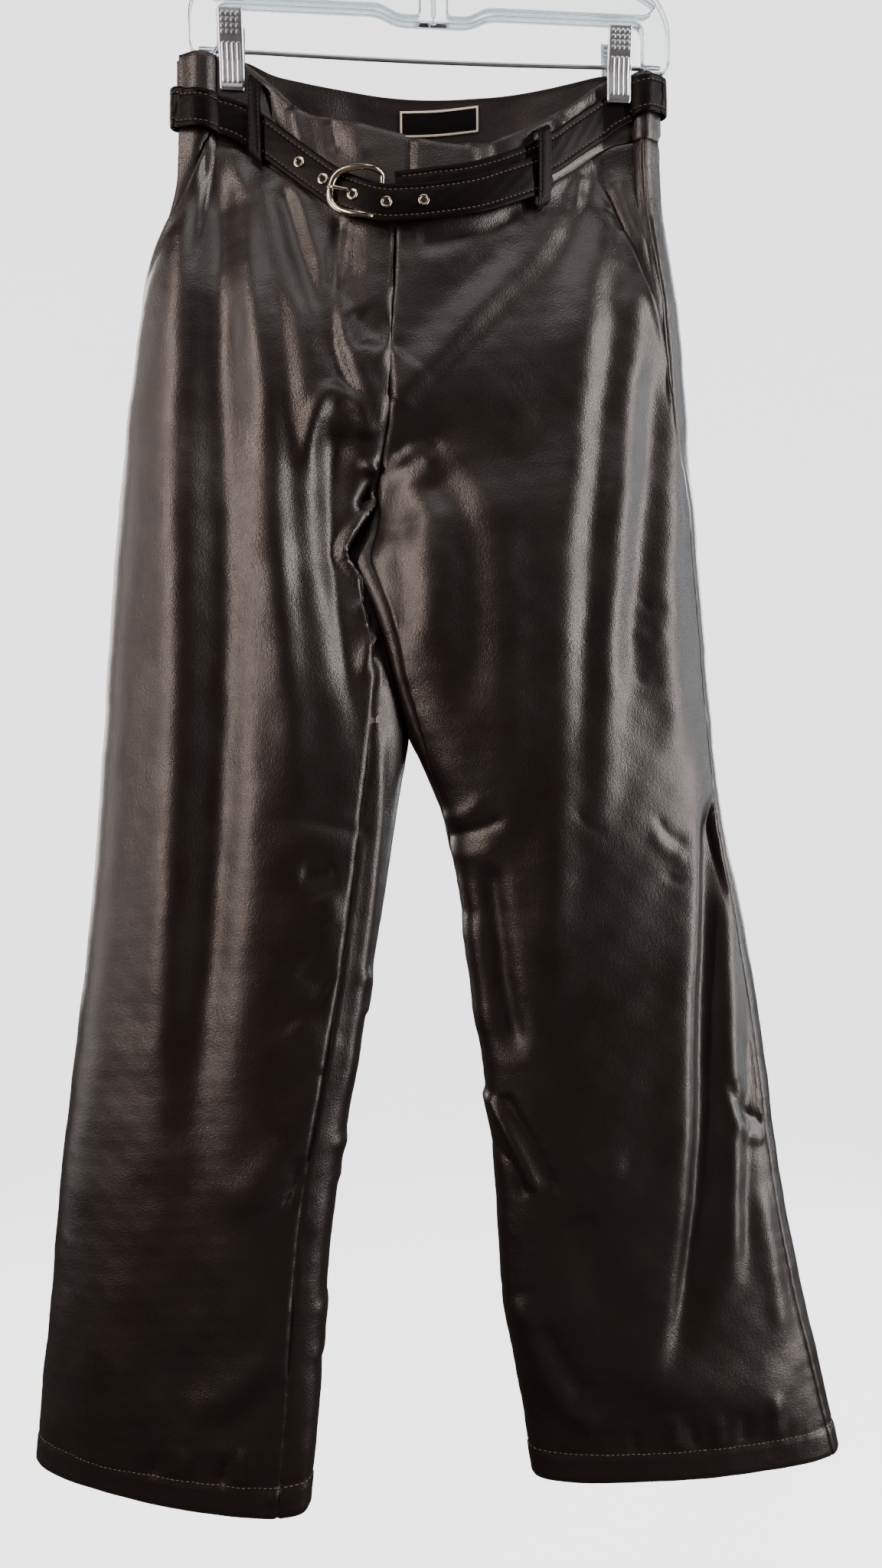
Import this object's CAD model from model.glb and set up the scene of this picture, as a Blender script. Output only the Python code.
"""Leather trousers with their own belt on a clip hanger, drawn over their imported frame.

Metres, in the frame's own coordinates: the origin is the inside top of the hook, the front of the
trousers faces -Y. "Left" and "right" are the viewer's. The cloth stands on the same sections as
the frame's panels, and the folds are laid on it by hand, from the Crease tables.
"""

import math
from collections import namedtuple

import bmesh
import bpy
import numpy as np
from bpy.props import FloatProperty, FloatVectorProperty, PointerProperty
from mathutils import Matrix, Vector


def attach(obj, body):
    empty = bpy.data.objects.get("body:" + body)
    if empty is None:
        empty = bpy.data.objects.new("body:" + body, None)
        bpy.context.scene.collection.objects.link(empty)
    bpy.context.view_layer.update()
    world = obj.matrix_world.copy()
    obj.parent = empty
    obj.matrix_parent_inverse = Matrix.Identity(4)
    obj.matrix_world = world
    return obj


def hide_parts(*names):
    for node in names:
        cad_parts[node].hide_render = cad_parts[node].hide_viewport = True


bl_info = {
    "name": "Leather trousers on a clip hanger",
    "version": (1, 0, 0),
    "blender": (4, 5, 0),
    "location": "3D View > Sidebar > Trousers",
    "description": "Builds wide-leg leather trousers, their belt and their clip hanger",
    "category": "Object",
}

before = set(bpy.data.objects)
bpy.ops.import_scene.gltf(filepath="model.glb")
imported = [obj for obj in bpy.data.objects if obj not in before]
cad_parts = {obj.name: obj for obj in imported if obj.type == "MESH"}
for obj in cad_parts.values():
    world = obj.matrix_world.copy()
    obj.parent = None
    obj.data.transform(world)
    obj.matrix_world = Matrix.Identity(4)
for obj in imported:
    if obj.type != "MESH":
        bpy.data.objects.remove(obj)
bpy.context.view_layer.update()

# --- sections of the trousers, as in the frame ---------------------------------------------------
PANEL_THICKNESS = 0.0013
BAND_THICKNESS = 0.0024
BAND_HEIGHT = 0.047
WAIST_SEAM_GAP = 0.0006
HEM_Z = -1.250
HEM_DEPTH = 0.0255  # from the hem's stitches to its edge
CROTCH = Vector((-0.047, -0.018, -0.466))
HIP_PANEL_ROWS = 8
LEG_PANEL_ROWS = 19
PANEL_ROWS = HIP_PANEL_ROWS + LEG_PANEL_ROWS
CLIP_X = {"left": -0.1485, "right": 0.1390}
CLIP_WIDTH = 0.0172
FLAT_BEYOND_CLIP = 0.0035
SEAM_GAP = 0.0004
TOP_LEVEL = -0.196
WAIST_LEFT, WAIST_RIGHT = -0.186, 0.170
WAIST_FRONT, WAIST_BACK = 0.031, 0.024
CORNER_BULGE = 0.0065
BAND_FLARE = 0.004
BAND_SPREAD = 0.008
WAIST_FADE = 0.13
REST = 0.0004

HipRow = namedtuple("HipRow", "z left right front back front_seam back_seam")
HIP_ROWS = [
    HipRow(-0.196, -0.192, 0.173, 0.031, 0.026, -0.033, -0.002),
    HipRow(-0.250, -0.201, 0.179, 0.038, 0.036, -0.033, -0.004),
    HipRow(-0.310, -0.214, 0.185, 0.043, 0.046, -0.036, -0.008),
    HipRow(-0.380, -0.226, 0.192, 0.047, 0.052, -0.038, -0.014),
    HipRow(-0.450, -0.236, 0.198, 0.047, 0.050, -0.038, -0.028),
    HipRow(-0.520, -0.244, 0.204, 0.046, 0.048, -0.040, -0.040),
    HipRow(-0.580, -0.250, 0.209, 0.046, 0.048, -0.040, -0.040),
]
LegRow = namedtuple("LegRow", "z outer_x outer_y inner_y front back side_seam inseam")
LEG_ROWS = {
    "left": [
        LegRow(-0.380, -0.226, 0.000, -0.006, 0.050, 0.050, -20, 150),
        LegRow(-0.466, -0.238, 0.004, -0.008, 0.048, 0.048, -20, 148),
        LegRow(-0.560, -0.249, 0.008, -0.010, 0.046, 0.046, -20, 150),
        LegRow(-0.640, -0.257, 0.012, -0.012, 0.045, 0.045, -20, 140),
        LegRow(-0.700, -0.264, 0.016, -0.015, 0.044, 0.045, -20, 142),
        LegRow(-0.800, -0.276, 0.022, -0.020, 0.043, 0.045, -20, 145),
        LegRow(-0.900, -0.292, 0.028, -0.024, 0.042, 0.045, -20, 146),
        LegRow(-1.000, -0.307, 0.034, -0.027, 0.041, 0.044, -20, 146),
        LegRow(-1.100, -0.320, 0.041, -0.030, 0.038, 0.043, -20, 148),
        LegRow(-1.180, -0.332, 0.047, -0.034, 0.034, 0.041, -20, 148),
        LegRow(-1.250, -0.341, 0.052, -0.038, 0.028, 0.038, -20, 148),
    ],
    "right": [
        LegRow(-0.380, 0.192, 0.000, -0.006, 0.050, 0.050, 22, 165),
        LegRow(-0.466, 0.199, 0.000, -0.012, 0.048, 0.048, 22, 156),
        LegRow(-0.560, 0.207, 0.000, -0.018, 0.046, 0.046, 22, 152),
        LegRow(-0.640, 0.214, -0.001, -0.018, 0.044, 0.044, 22, 160),
        LegRow(-0.700, 0.221, -0.002, -0.016, 0.042, 0.043, 22, 174),
        LegRow(-0.800, 0.242, -0.004, -0.014, 0.040, 0.043, 26, 184),
        LegRow(-0.900, 0.259, -0.006, -0.014, 0.038, 0.043, 26, 188),
        LegRow(-1.000, 0.273, -0.008, -0.014, 0.036, 0.043, 26, 190),
        LegRow(-1.100, 0.293, -0.010, -0.014, 0.033, 0.042, 26, 190),
        LegRow(-1.180, 0.312, -0.012, -0.015, 0.030, 0.040, 24, 188),
        LegRow(-1.250, 0.328, -0.014, -0.016, 0.025, 0.036, 22, 186),
    ],
}
InnerRow = namedtuple("InnerRow", "z left right")
INNER_ROWS = [
    InnerRow(-0.380, -0.0400, -0.0370),
    InnerRow(-0.440, -0.0415, -0.0385),
    InnerRow(-0.466, -0.0485, -0.0455),
    InnerRow(-0.490, -0.0640, -0.0610),
    InnerRow(-0.508, -0.0725, -0.0695),
    InnerRow(-0.526, -0.0620, -0.0590),
    InnerRow(-0.565, -0.0480, -0.0445),
    InnerRow(-0.605, -0.0375, -0.0340),
    InnerRow(-0.645, -0.0285, -0.0240),
    InnerRow(-0.700, -0.0370, -0.0020),
    InnerRow(-0.800, -0.0540, 0.0180),
    InnerRow(-0.900, -0.0720, 0.0300),
    InnerRow(-1.000, -0.0900, 0.0400),
    InnerRow(-1.100, -0.1020, 0.0460),
    InnerRow(-1.180, -0.1080, 0.0590),
    InnerRow(-1.250, -0.1160, 0.0690),
]
EdgeRow = namedtuple("EdgeRow", "x front_top back_top")
WAIST_ROWS = [
    EdgeRow(-0.190, -0.1480, -0.1480),
    EdgeRow(-0.157, -0.1480, -0.1485),
    EdgeRow(-0.139, -0.1520, -0.1500),
    EdgeRow(-0.120, -0.1680, -0.1560),
    EdgeRow(-0.100, -0.1880, -0.1575),
    EdgeRow(-0.066, -0.1990, -0.1585),
    EdgeRow(-0.036, -0.2085, -0.1595),
    EdgeRow(0.000, -0.2160, -0.1595),
    EdgeRow(0.030, -0.2150, -0.1585),
    EdgeRow(0.066, -0.1985, -0.1570),
    EdgeRow(0.103, -0.1740, -0.1530),
    EdgeRow(0.130, -0.1540, -0.1490),
    EdgeRow(0.148, -0.1490, -0.1480),
    EdgeRow(0.175, -0.1480, -0.1480),
]
MOUTH_TOP_SHARE = {"left": 0.50, "right": 0.305}
MOUTH_FOOT_SHARE = 0.020
MOUTH_FOOT_ROW = 5
HIP_ROW_HEIGHT = 0.031
WAIST_SEAM_Z = -0.215  # about the middle of the front's waist seam
CLOTH_SPREAD = 1.3  # a panel's width against its leg's width as it hangs

# how deep and wide the groove along each seam is, and how high the lip beside it
Seam = namedtuple("Seam", "groove width lip", defaults=(0.0,))
SIDE_SEAM, INNER_SEAM = Seam(0.0010, 0.0014, 0.0005), Seam(0.0012, 0.0015, 0.0002)
SEAM_LIP_AT, SEAM_LIP_WIDTH = 0.0042, 0.0022
WAIST_SEAM, FLY_SEAM, HEM_SEAM = Seam(0.0008, 0.0022), Seam(0.0006, 0.0014), Seam(0.0007, 0.0013)
FLY_FROM_X, FLY_FOOT_Z = -0.085, -0.42
HEM_STEP, HEM_TURN = 0.0007, 0.0014

# --- the belt's line, as in the frame -------------------------------------------------------------
BELT_WIDTH = 0.027
BELT_THICKNESS = 0.0022
BINDING = 0.0045  # from the belt's edge to its stitches
BELT_GROOVE, BELT_PILLOW, BELT_ROUND = 0.00042, 0.00022, 0.0009
BELT_STEP = 0.002
TIP_ROUND = 0.006
WORN_LENGTH = (0.16, 0.11)  # from the hinge to where the wrinkles start and are full
STITCH_RISE = 0.00012
LOOP_WIDTH = 0.0095
LOOP_THICKNESS = 0.0014
LOOP_FOOT_RISE = 0.008
# down the band, from 0 at its upper edge to 1 at the waist seam, and the share of the way out
LOOP_SHAPE = [(0.13, 0.0), (0.15, 0.7), (0.20, 1.0), (0.45, 1.08), (0.70, 1.1), (0.95, 1.05),
              (1.19, 1.0), (1.26, 0.7), (1.30, 0.0)]
EYELET_RADIUS = 0.0042
EYELET_HOLE = 0.0022
EYELET_HEIGHT = 0.0012
BUCKLE_HEIGHT = 0.0365
BUCKLE_LENGTH = 0.038
BUCKLE_WIRE = 0.0021
BUCKLE_CLEAR = 0.0012
HINGE_OFF = 0.0026
PRONG_WIRE = 0.0013
BUCKLE_X, BUCKLE_Z = -0.0582, -0.2532
BUCKLE_SLOPE = math.radians(-10)
LAP_X, LAP_LENGTH, LAP_RAMP = -0.024, 0.024, 0.012
EYELET_X = [-0.098, -0.081, -0.060, -0.037, -0.012]
FRONT_LOOPS = {"left": -0.1290, "right": 0.0735}
BACK_LOOPS = {"left": -0.105, "middle": 0.000, "right": 0.100}
BELT_END_X = (0.079, -0.031)
BELT_SAMPLES = 900
ON_BAND = BELT_THICKNESS + 0.0010
ON_STRAP = ON_BAND + BELT_THICKNESS + REST
BeltRow = namedtuple("BeltRow", "face x z off")
BeltAngle = namedtuple("BeltAngle", "angle z off")
BELT_ROWS = [
    BeltRow("front", 0.094, -0.2215, ON_STRAP + 0.0008),
    BeltRow("front", 0.079, -0.2295, ON_STRAP + 0.0008),
    BeltRow("front", 0.052, -0.2425, ON_STRAP + 0.0008),
    BeltRow("front", 0.027, -0.2530, ON_STRAP + 0.0008),
    BeltRow("front", 0.002, -0.2590, ON_STRAP + 0.0008),
    BeltRow("front", -0.022, -0.2620, ON_STRAP + 0.0010),
    BeltRow("front", -0.040, -0.2620, ON_STRAP + 0.0016),
    BeltRow("front", -0.058, -0.2560, ON_BAND + 0.0032),
    BeltRow("front", -0.074, -0.2465, ON_BAND + 0.0008),
    BeltRow("front", -0.089, -0.2345, ON_BAND),
    BeltRow("front", -0.107, -0.2190, ON_BAND),
    BeltRow("front", -0.125, -0.2045, ON_BAND + 0.0010),
    BeltRow("front", -0.142, -0.1950, ON_BAND + 0.0020),
    BeltRow("front", -0.163, -0.1890, ON_BAND + 0.0010),
    BeltRow("front", -0.181, -0.1865, ON_BAND + 0.0010),
    BeltRow("front", -0.186, -0.1845, ON_BAND + 0.0016),
    BeltRow("back", -0.181, -0.1850, ON_BAND + 0.0010),
    BeltRow("back", -0.160, -0.1865, ON_BAND),
    BeltRow("back", -0.130, -0.1875, ON_BAND),
    BeltRow("back", -0.090, -0.1860, ON_BAND),
    BeltRow("back", -0.045, -0.1875, ON_BAND),
    BeltRow("back", 0.000, -0.1880, ON_BAND),
    BeltRow("back", 0.045, -0.1865, ON_BAND),
    BeltRow("back", 0.090, -0.1830, ON_BAND),
    BeltRow("back", 0.130, -0.1760, ON_BAND),
    BeltRow("back", 0.148, -0.1715, ON_BAND),
    BeltRow("back", 0.155, -0.1700, ON_BAND + 0.0006),
    BeltRow("back", 0.166, -0.1665, ON_BAND + 0.0012),
    BeltRow("front", 0.170, -0.1640, ON_BAND + 0.0018),
    BeltRow("front", 0.165, -0.1635, ON_BAND + 0.0010),
    BeltRow("front", 0.154, -0.1665, ON_BAND + 0.0006),
    BeltRow("front", 0.148, -0.1690, ON_BAND),
    BeltRow("front", 0.139, -0.1735, ON_BAND - 0.0002),
    BeltRow("front", 0.124, -0.1835, ON_BAND),
    BeltRow("front", 0.104, -0.1985, ON_BAND + 0.0006),
    BeltRow("front", 0.086, -0.2130, ON_BAND + 0.0003),
    BeltRow("front", 0.068, -0.2240, ON_BAND),
    BeltRow("front", 0.047, -0.2345, ON_BAND),
    BeltRow("front", 0.022, -0.2435, ON_BAND),
    BeltRow("front", -0.004, -0.2485, ON_BAND),
    BeltRow("front", -0.0310, -0.2520, ON_BAND),
    BeltRow("front", -0.0460, -0.2530, ON_BAND),
]
TIP_ROWS = BELT_ROWS[:16]

# --- folds ----------------------------------------------------------------------------------------
# Each fold follows a path, in millimetres of x and z: how far it stands out (or, negative, sinks
# in), how wide it is, how far its two ends fade, and its path. Lean is how much steeper its right
# side is than its left (-1 to 1), and crest how sharp its crest is (2 soft, 1 sharp).
Crease = namedtuple("Crease", "height width ends path lean crest", defaults=(0.0, 2.0))
BROAD_FOLD = 6.5  # millimetres of width, past which a fold is broad
BROAD_WIDER, BROAD_LOWER, NARROW_HIGHER = 1.15, 0.8, 1.1
FOLD_REACH = 3.2  # widths from its path to where a fold ends
END_EASE = 0.002
# the turn, height in millimetres and length of each wave of the leather's unevenness
UNEVEN_WAVES = [(0.3, 0.20, 0.085), (1.1, 0.16, 0.061), (2.0, 0.12, 0.043), (2.7, 0.09, 0.029),
                (0.8, 0.06, 0.019), (1.7, 0.045, 0.014)]
PUCKER_HEIGHT = 0.00018
CREASES = {
    ("left", "front"): [
        # long folds from the pocket and the waist down the leg
        Crease(5, 15, (50, 200), [(-180, -235), (-188, -400), (-194, -560), (-203, -700),
            (-216, -850), (-228, -990)], 0.1),
        Crease(-11, 17, (40, 260), [(-160, -215), (-163, -363), (-162, -530), (-166, -640),
            (-176, -760), (-190, -900), (-198, -1050)]),
        Crease(5, 13, (30, 160), [(-142, -218), (-131, -330), (-125, -400), (-122, -476),
            (-118, -552), (-113, -650), (-116, -760)]),
        Crease(-2.8, 8, (30, 110), [(-136, -225), (-122, -330), (-113, -401), (-111, -476),
            (-107, -552), (-102, -640)]),
        Crease(4.6, 11, (20, 120), [(-130, -225), (-115, -290), (-99, -345), (-96, -400),
            (-95, -465), (-90, -530), (-83, -600), (-74, -690)], 0.1),
        Crease(-3, 8, (20, 30), [(-116, -235), (-100, -300), (-88, -350), (-84, -390)]),
        Crease(3.6, 8, (20, 15), [(-108, -225), (-92, -284), (-78, -328), (-66, -368), (-48, -404),
            (-38, -424)], 0.2, 1.8),
        # round the crotch: the deep drop under its lip, the hole and the pinched folds
        Crease(-12, 15, (25, 90), [(-74, -412), (-80, -445), (-82, -486), (-80, -540), (-74, -600),
            (-68, -660)], 0.2),
        Crease(3.5, 6, (25, 10), [(-98, -450), (-93, -415), (-80, -396), (-63, -404),
            (-54, -428)]),
        Crease(6, 4.5, (6, 3), [(-58, -440), (-50, -446), (-41, -441)], crest=1.6),
        Crease(-10, 6, (5, 8), [(-42, -454), (-50, -464), (-58, -478)]),
        Crease(4, 3.5, (6, 3), [(-46, -466), (-60, -484), (-76, -505)], -0.3, 1.4),
        Crease(-4, 4, (4, 4), [(-52, -482), (-60, -494), (-70, -506)], crest=1.8),
        Crease(3.5, 3.5, (3, 4), [(-76, -509), (-67, -516), (-62, -522)], crest=1.4),
        Crease(3, 4, (6, 12), [(-66, -545), (-58, -552), (-53, -564), (-57, -578),
            (-61, -600)], crest=1.6),
        # behind the knee and down the inseam
        Crease(-1.6, 5, (25, 6), [(-128, -699), (-100, -706), (-62, -716)], crest=1.7),
        Crease(1.4, 8, (20, 6), [(-122, -713), (-94, -721), (-66, -728)]),
        Crease(-4, 9, (8, 8), [(-112, -742), (-98, -745), (-84, -741)]),
        Crease(3, 10, (4, 4), [(-92, -760), (-86, -785)]),
        Crease(-3.5, 11, (8, 8), [(-112, -812), (-98, -826), (-88, -834)]),
        Crease(2.5, 11, (8, 8), [(-118, -855), (-104, -874), (-98, -900)]),
        Crease(4, 15, (40, 10), [(-176, -1010), (-140, -975), (-104, -930), (-88, -905)]),
        Crease(-3, 12, (25, 10), [(-150, -1030), (-122, -990), (-104, -965)]),
        Crease(-2, 2.5, (5, 5), [(-127, -1000), (-121, -983), (-117, -970)], crest=1.5),
        Crease(3, 13, (30, 15), [(-214, -1170), (-176, -1152), (-138, -1118), (-118, -1070)]),
        Crease(-2.5, 12, (20, 15), [(-196, -1190), (-160, -1165), (-132, -1130)]),
        # the soft shape of the lower leg and the hem's puckers
        Crease(-5, 26, (140, 60), [(-205, -940), (-205, -1080), (-196, -1200)]),
        Crease(4, 22, (120, 20), [(-262, -1000), (-272, -1120), (-284, -1240)]),
        Crease(2.2, 6, (12, 4), [(-160, -1190), (-166, -1222)]),
        Crease(-1.8, 4, (10, 4), [(-178, -1200), (-182, -1224)]),
        Crease(1.8, 6, (12, 4), [(-206, -1196), (-212, -1222)]),
        Crease(-1.6, 5, (10, 4), [(-232, -1202), (-236, -1224)]),
        Crease(1.6, 5, (4, 6), [(-138, -1240), (-142, -1225)]),
        # the fly's foot
        Crease(-3.2, 9, (8, 5), [(-62, -336), (-54, -350), (-40, -356)]),
        Crease(2.6, 8, (8, 5), [(-60, -360), (-52, -371), (-40, -372)]),
        Crease(3.4, 10, (10, 20), [(-49, -262), (-49, -310), (-47, -345)]),
        Crease(-3.2, 6, (10, 15), [(-72, -265), (-78, -330), (-74, -380), (-62, -405)]),
        Crease(2, 8, (6, 25), [(-150, -208), (-140, -250)]),
        Crease(-2.5, 5, (4, 20), [(-168, -208), (-172, -240)]),
    ],
    ("right", "front"): [
        # the fan of folds that rises from the fly's foot to the waist
        Crease(3.8, 12, (4, 30), [(-34, -402), (-24, -390), (-6, -371), (16, -345), (44, -316),
            (75, -283), (98, -245)], -0.1),
        Crease(-2.4, 15, (6, 30), [(-30, -372), (-14, -352), (10, -322), (38, -290), (60, -262)]),
        Crease(-1.2, 9, (4, 30), [(-32, -413), (-14, -400), (8, -376), (32, -348), (56, -322)]),
        Crease(0.9, 9, (4, 35), [(-34, -424), (-20, -409), (4, -390), (34, -362), (60, -340)]),
        Crease(1.4, 5, (4, 8), [(-34, -443), (-24, -436), (-14, -438), (-6, -448)], crest=1.7),
        Crease(-1.4, 5, (4, 10), [(-33, -434), (-22, -427), (-10, -428), (0, -438)], crest=1.8),
        Crease(2.6, 15, (15, 40), [(-30, -446), (-14, -470), (-8, -510), (-10, -550),
            (-14, -590)]),
        Crease(-2.4, 10, (15, 30), [(-28, -470), (-30, -500), (-30, -540), (-28, -580)]),
        Crease(-3.6, 14, (15, 70), [(-8, -448), (10, -480), (18, -520), (18, -580), (16, -650)]),
        Crease(3, 16, (30, 90), [(0, -420), (30, -470), (44, -540), (46, -640), (52, -740)]),
        # long folds down the leg
        Crease(4.8, 15, (30, 160), [(126, -238), (116, -300), (110, -360), (101, -430), (92, -490),
            (88, -560), (86, -630), (82, -720), (78, -820), (82, -900)], 0.1),
        Crease(-3.2, 12, (30, 120), [(130, -290), (122, -360), (114, -430), (106, -500),
            (101, -590), (99, -700)]),
        Crease(3.8, 12, (30, 130), [(152, -300), (145, -360), (138, -420), (132, -480),
            (125, -545), (119, -620), (114, -700), (112, -780)]),
        Crease(-5, 13, (30, 50), [(164, -360), (157, -430), (149, -496), (143, -560),
            (140, -630)]),
        Crease(3.4, 12, (30, 60), [(187, -380), (178, -440), (172, -500), (170, -560), (174, -620),
            (182, -680)]),
        Crease(-0.8, 3, (4, 4), [(150, -545), (157, -552), (166, -548)], crest=1.6),
        Crease(1, 6, (6, 6), [(144, -566), (156, -574), (168, -568)], crest=1.9),
        Crease(-0.8, 4, (6, 6), [(142, -600), (154, -607), (164, -604)], crest=1.8),
        Crease(-0.7, 2.5, (5, 5), [(96, -700), (104, -712), (118, -718)], crest=1.6),
        Crease(-0.9, 3, (5, 6), [(160, -708), (170, -722), (184, -730)], crest=1.6),
        Crease(0.9, 5, (6, 6), [(156, -720), (168, -734), (184, -742)], crest=1.8),
        Crease(-0.8, 3, (6, 6), [(166, -752), (178, -760), (192, -760)], crest=1.6),
        # the deep fold beside the side seam
        Crease(-13, 11, (35, 110), [(213, -690), (208, -727), (205, -797), (201, -868),
            (200, -961), (194, -1042), (184, -1110), (170, -1170)], -0.35),
        Crease(4, 12, (50, 90), [(198, -700), (190, -790), (184, -880), (182, -980),
            (174, -1070)], 0.3),
        Crease(4, 8, (30, 70), [(222, -760), (222, -860), (226, -950), (226, -1040),
            (222, -1110)]),
        Crease(-3, 7, (25, 60), [(238, -880), (240, -940), (238, -1020), (240, -1100)]),
        Crease(-2.4, 4.5, (8, 6), [(222, -918), (229, -938), (240, -951), (256, -958)], crest=1.7),
        Crease(1.8, 6, (8, 6), [(226, -950), (240, -966), (256, -972)], crest=1.9),
        Crease(3, 8, (30, 40), [(252, -1010), (262, -1080), (272, -1150)]),
        # by the knee and down the inseam
        Crease(-2.2, 5, (4, 14), [(2, -722), (22, -716), (46, -704)], crest=1.7),
        Crease(1.2, 5, (4, 12), [(0, -708), (14, -702), (30, -690)], crest=1.8),
        Crease(1, 6, (4, 12), [(4, -738), (22, -734), (40, -728)], crest=1.9),
        Crease(-6, 9, (20, 30), [(32, -738), (38, -790), (46, -850), (56, -900)], 0.1),
        Crease(3.5, 8, (20, 25), [(18, -780), (24, -840), (30, -890)]),
        Crease(2.8, 5, (5, 14), [(33, -928), (46, -952), (60, -982), (70, -1004)], 0.35, 1.7),
        Crease(-2.4, 6, (8, 16), [(42, -924), (56, -948), (70, -976), (84, -1008)], crest=1.9),
        Crease(-1.8, 5, (5, 10), [(38, -966), (52, -984), (60, -1010)], crest=1.8),
        Crease(3, 12, (10, 12), [(104, -984), (122, -979), (138, -984)]),
        Crease(-4.5, 16, (30, 30), [(92, -1010), (112, -1062), (124, -1120)]),
        Crease(3.5, 10, (16, 14), [(54, -1090), (70, -1136), (92, -1176), (120, -1205)], 0.1, 1.9),
        Crease(-3, 9, (14, 14), [(70, -1110), (88, -1150), (110, -1180)]),
        # the light lower leg and the hem's puckers
        Crease(5, 24, (40, 40), [(130, -1130), (170, -1160), (230, -1180), (290, -1180)]),
        Crease(2.2, 5, (12, 4), [(176, -1188), (180, -1220)]),
        Crease(-2, 4, (10, 4), [(192, -1196), (196, -1222)]),
        Crease(2, 5, (12, 4), [(212, -1190), (216, -1222)]),
        Crease(-2, 5, (10, 4), [(236, -1192), (238, -1222)]),
        Crease(2.4, 6, (14, 4), [(262, -1180), (266, -1220)]),
        Crease(-1.6, 4, (10, 4), [(144, -1200), (148, -1224)]),
        # by the pocket and under the belt
        Crease(2.5, 7, (8, 20), [(136, -225), (146, -258), (160, -290)]),
        Crease(-1.8, 3, (5, 5), [(128, -246), (136, -258), (140, -270)], crest=1.6),
        Crease(2, 6, (6, 20), [(108, -222), (102, -262)]),
        Crease(-4, 9, (12, 12), [(60, -256), (40, -268), (10, -280), (-20, -288)]),
    ],
    ("left", "back"): [
        Crease(-9, 16, (40, 220), [(-120, -215), (-126, -330), (-134, -500), (-142, -700),
            (-156, -900), (-168, -1050)]),
        Crease(6, 12, (40, 180), [(-92, -215), (-96, -330), (-104, -480), (-112, -640),
            (-118, -800)]),
        Crease(6, 14, (40, 200), [(-152, -220), (-164, -400), (-174, -600), (-188, -820),
            (-206, -1000)], 0.1),
        Crease(-6, 13, (80, 160), [(-192, -420), (-206, -620), (-222, -840), (-240, -1040)]),
        Crease(-7, 12, (40, 60), [(-70, -250), (-74, -330), (-78, -400), (-84, -450)]),
        Crease(5, 8, (10, 35), [(-14, -330), (-34, -380), (-62, -430), (-84, -470)], crest=1.9),
        Crease(-5, 8, (8, 35), [(-24, -400), (-44, -440), (-66, -470), (-90, -500)], crest=1.9),
        Crease(4, 7, (5, 30), [(-40, -452), (-56, -480), (-80, -505), (-104, -520)], crest=1.8),
        Crease(-5, 8, (10, 40), [(-56, -520), (-62, -580), (-60, -640)]),
        Crease(-3, 5, (6, 30), [(-60, -716), (-96, -708), (-140, -716)], crest=1.7),
        Crease(3, 8, (6, 30), [(-66, -735), (-104, -728), (-150, -738)]),
        Crease(-3, 7, (10, 25), [(-80, -770), (-120, -758), (-164, -766)], crest=1.9),
        Crease(3, 12, (15, 30), [(-90, -860), (-124, -890), (-150, -940)]),
        Crease(-3.5, 14, (20, 30), [(-110, -1010), (-150, -1040), (-176, -1090)]),
        Crease(4, 20, (60, 10), [(-240, -1060), (-262, -1150), (-276, -1235)]),
        Crease(2.2, 6, (12, 4), [(-150, -1190), (-154, -1222)]),
        Crease(-2, 5, (10, 4), [(-192, -1196), (-196, -1222)]),
        Crease(2, 6, (12, 4), [(-232, -1190), (-238, -1222)]),
        # the strip that shows beside the inseam from in front, crumpled below the crotch
        Crease(2.6, 3, (4, 6), [(-64, -538), (-61, -549), (-50, -563), (-57, -577),
            (-60, -592)], crest=1.6),
        Crease(-2.4, 3, (4, 6), [(-58, -538), (-53, -551), (-56, -568), (-51, -578),
            (-52, -590)], crest=1.8),
        Crease(2, 5, (20, 60), [(-50, -640), (-52, -700), (-60, -780), (-72, -860), (-84, -940)]),
        Crease(2.2, 4, (6, 10), [(-56, -585), (-50, -600), (-58, -618), (-50, -640)], crest=1.7),
        Crease(2, 5, (5, 5), [(-66, -822), (-60, -840), (-66, -860)], crest=1.7),
        Crease(2, 5, (5, 5), [(-88, -950), (-80, -968), (-86, -992)], crest=1.7),
        Crease(2, 6, (6, 6), [(-104, -1080), (-98, -1104), (-106, -1130)], crest=1.8),
    ],
    ("right", "back"): [
        Crease(-9, 16, (40, 220), [(82, -215), (86, -330), (96, -500), (104, -700), (116, -900),
            (128, -1050)]),
        Crease(6, 12, (40, 180), [(54, -215), (58, -330), (66, -480), (74, -640), (84, -800)]),
        Crease(6.5, 14, (40, 200), [(114, -220), (124, -400), (136, -600), (152, -820),
            (172, -1000)], -0.1),
        Crease(-6.5, 13, (80, 160), [(152, -420), (168, -620), (190, -840), (212, -1040)]),
        Crease(-6, 12, (40, 60), [(30, -250), (32, -330), (30, -400), (24, -450)]),
        Crease(5, 8, (10, 35), [(0, -330), (6, -380), (18, -430), (40, -470)], crest=1.9),
        Crease(-5, 8, (8, 35), [(-18, -400), (-8, -440), (14, -474), (44, -500)], crest=1.9),
        Crease(4, 7, (5, 30), [(-36, -452), (-14, -484), (16, -510), (44, -524)], crest=1.8),
        Crease(-5, 9, (10, 40), [(-26, -540), (-8, -590), (6, -650)]),
        Crease(-3, 5, (6, 30), [(6, -712), (48, -704), (100, -716)], crest=1.7),
        Crease(3, 8, (6, 30), [(10, -732), (56, -724), (110, -738)]),
        Crease(-3, 7, (10, 25), [(22, -768), (70, -756), (122, -770)], crest=1.9),
        Crease(3, 12, (15, 30), [(52, -870), (88, -900), (112, -950)]),
        Crease(-3.5, 14, (20, 30), [(66, -1020), (108, -1050), (140, -1100)]),
        Crease(4, 20, (60, 10), [(210, -1060), (240, -1150), (262, -1235)]),
        Crease(2.2, 6, (12, 4), [(118, -1190), (120, -1222)]),
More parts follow.
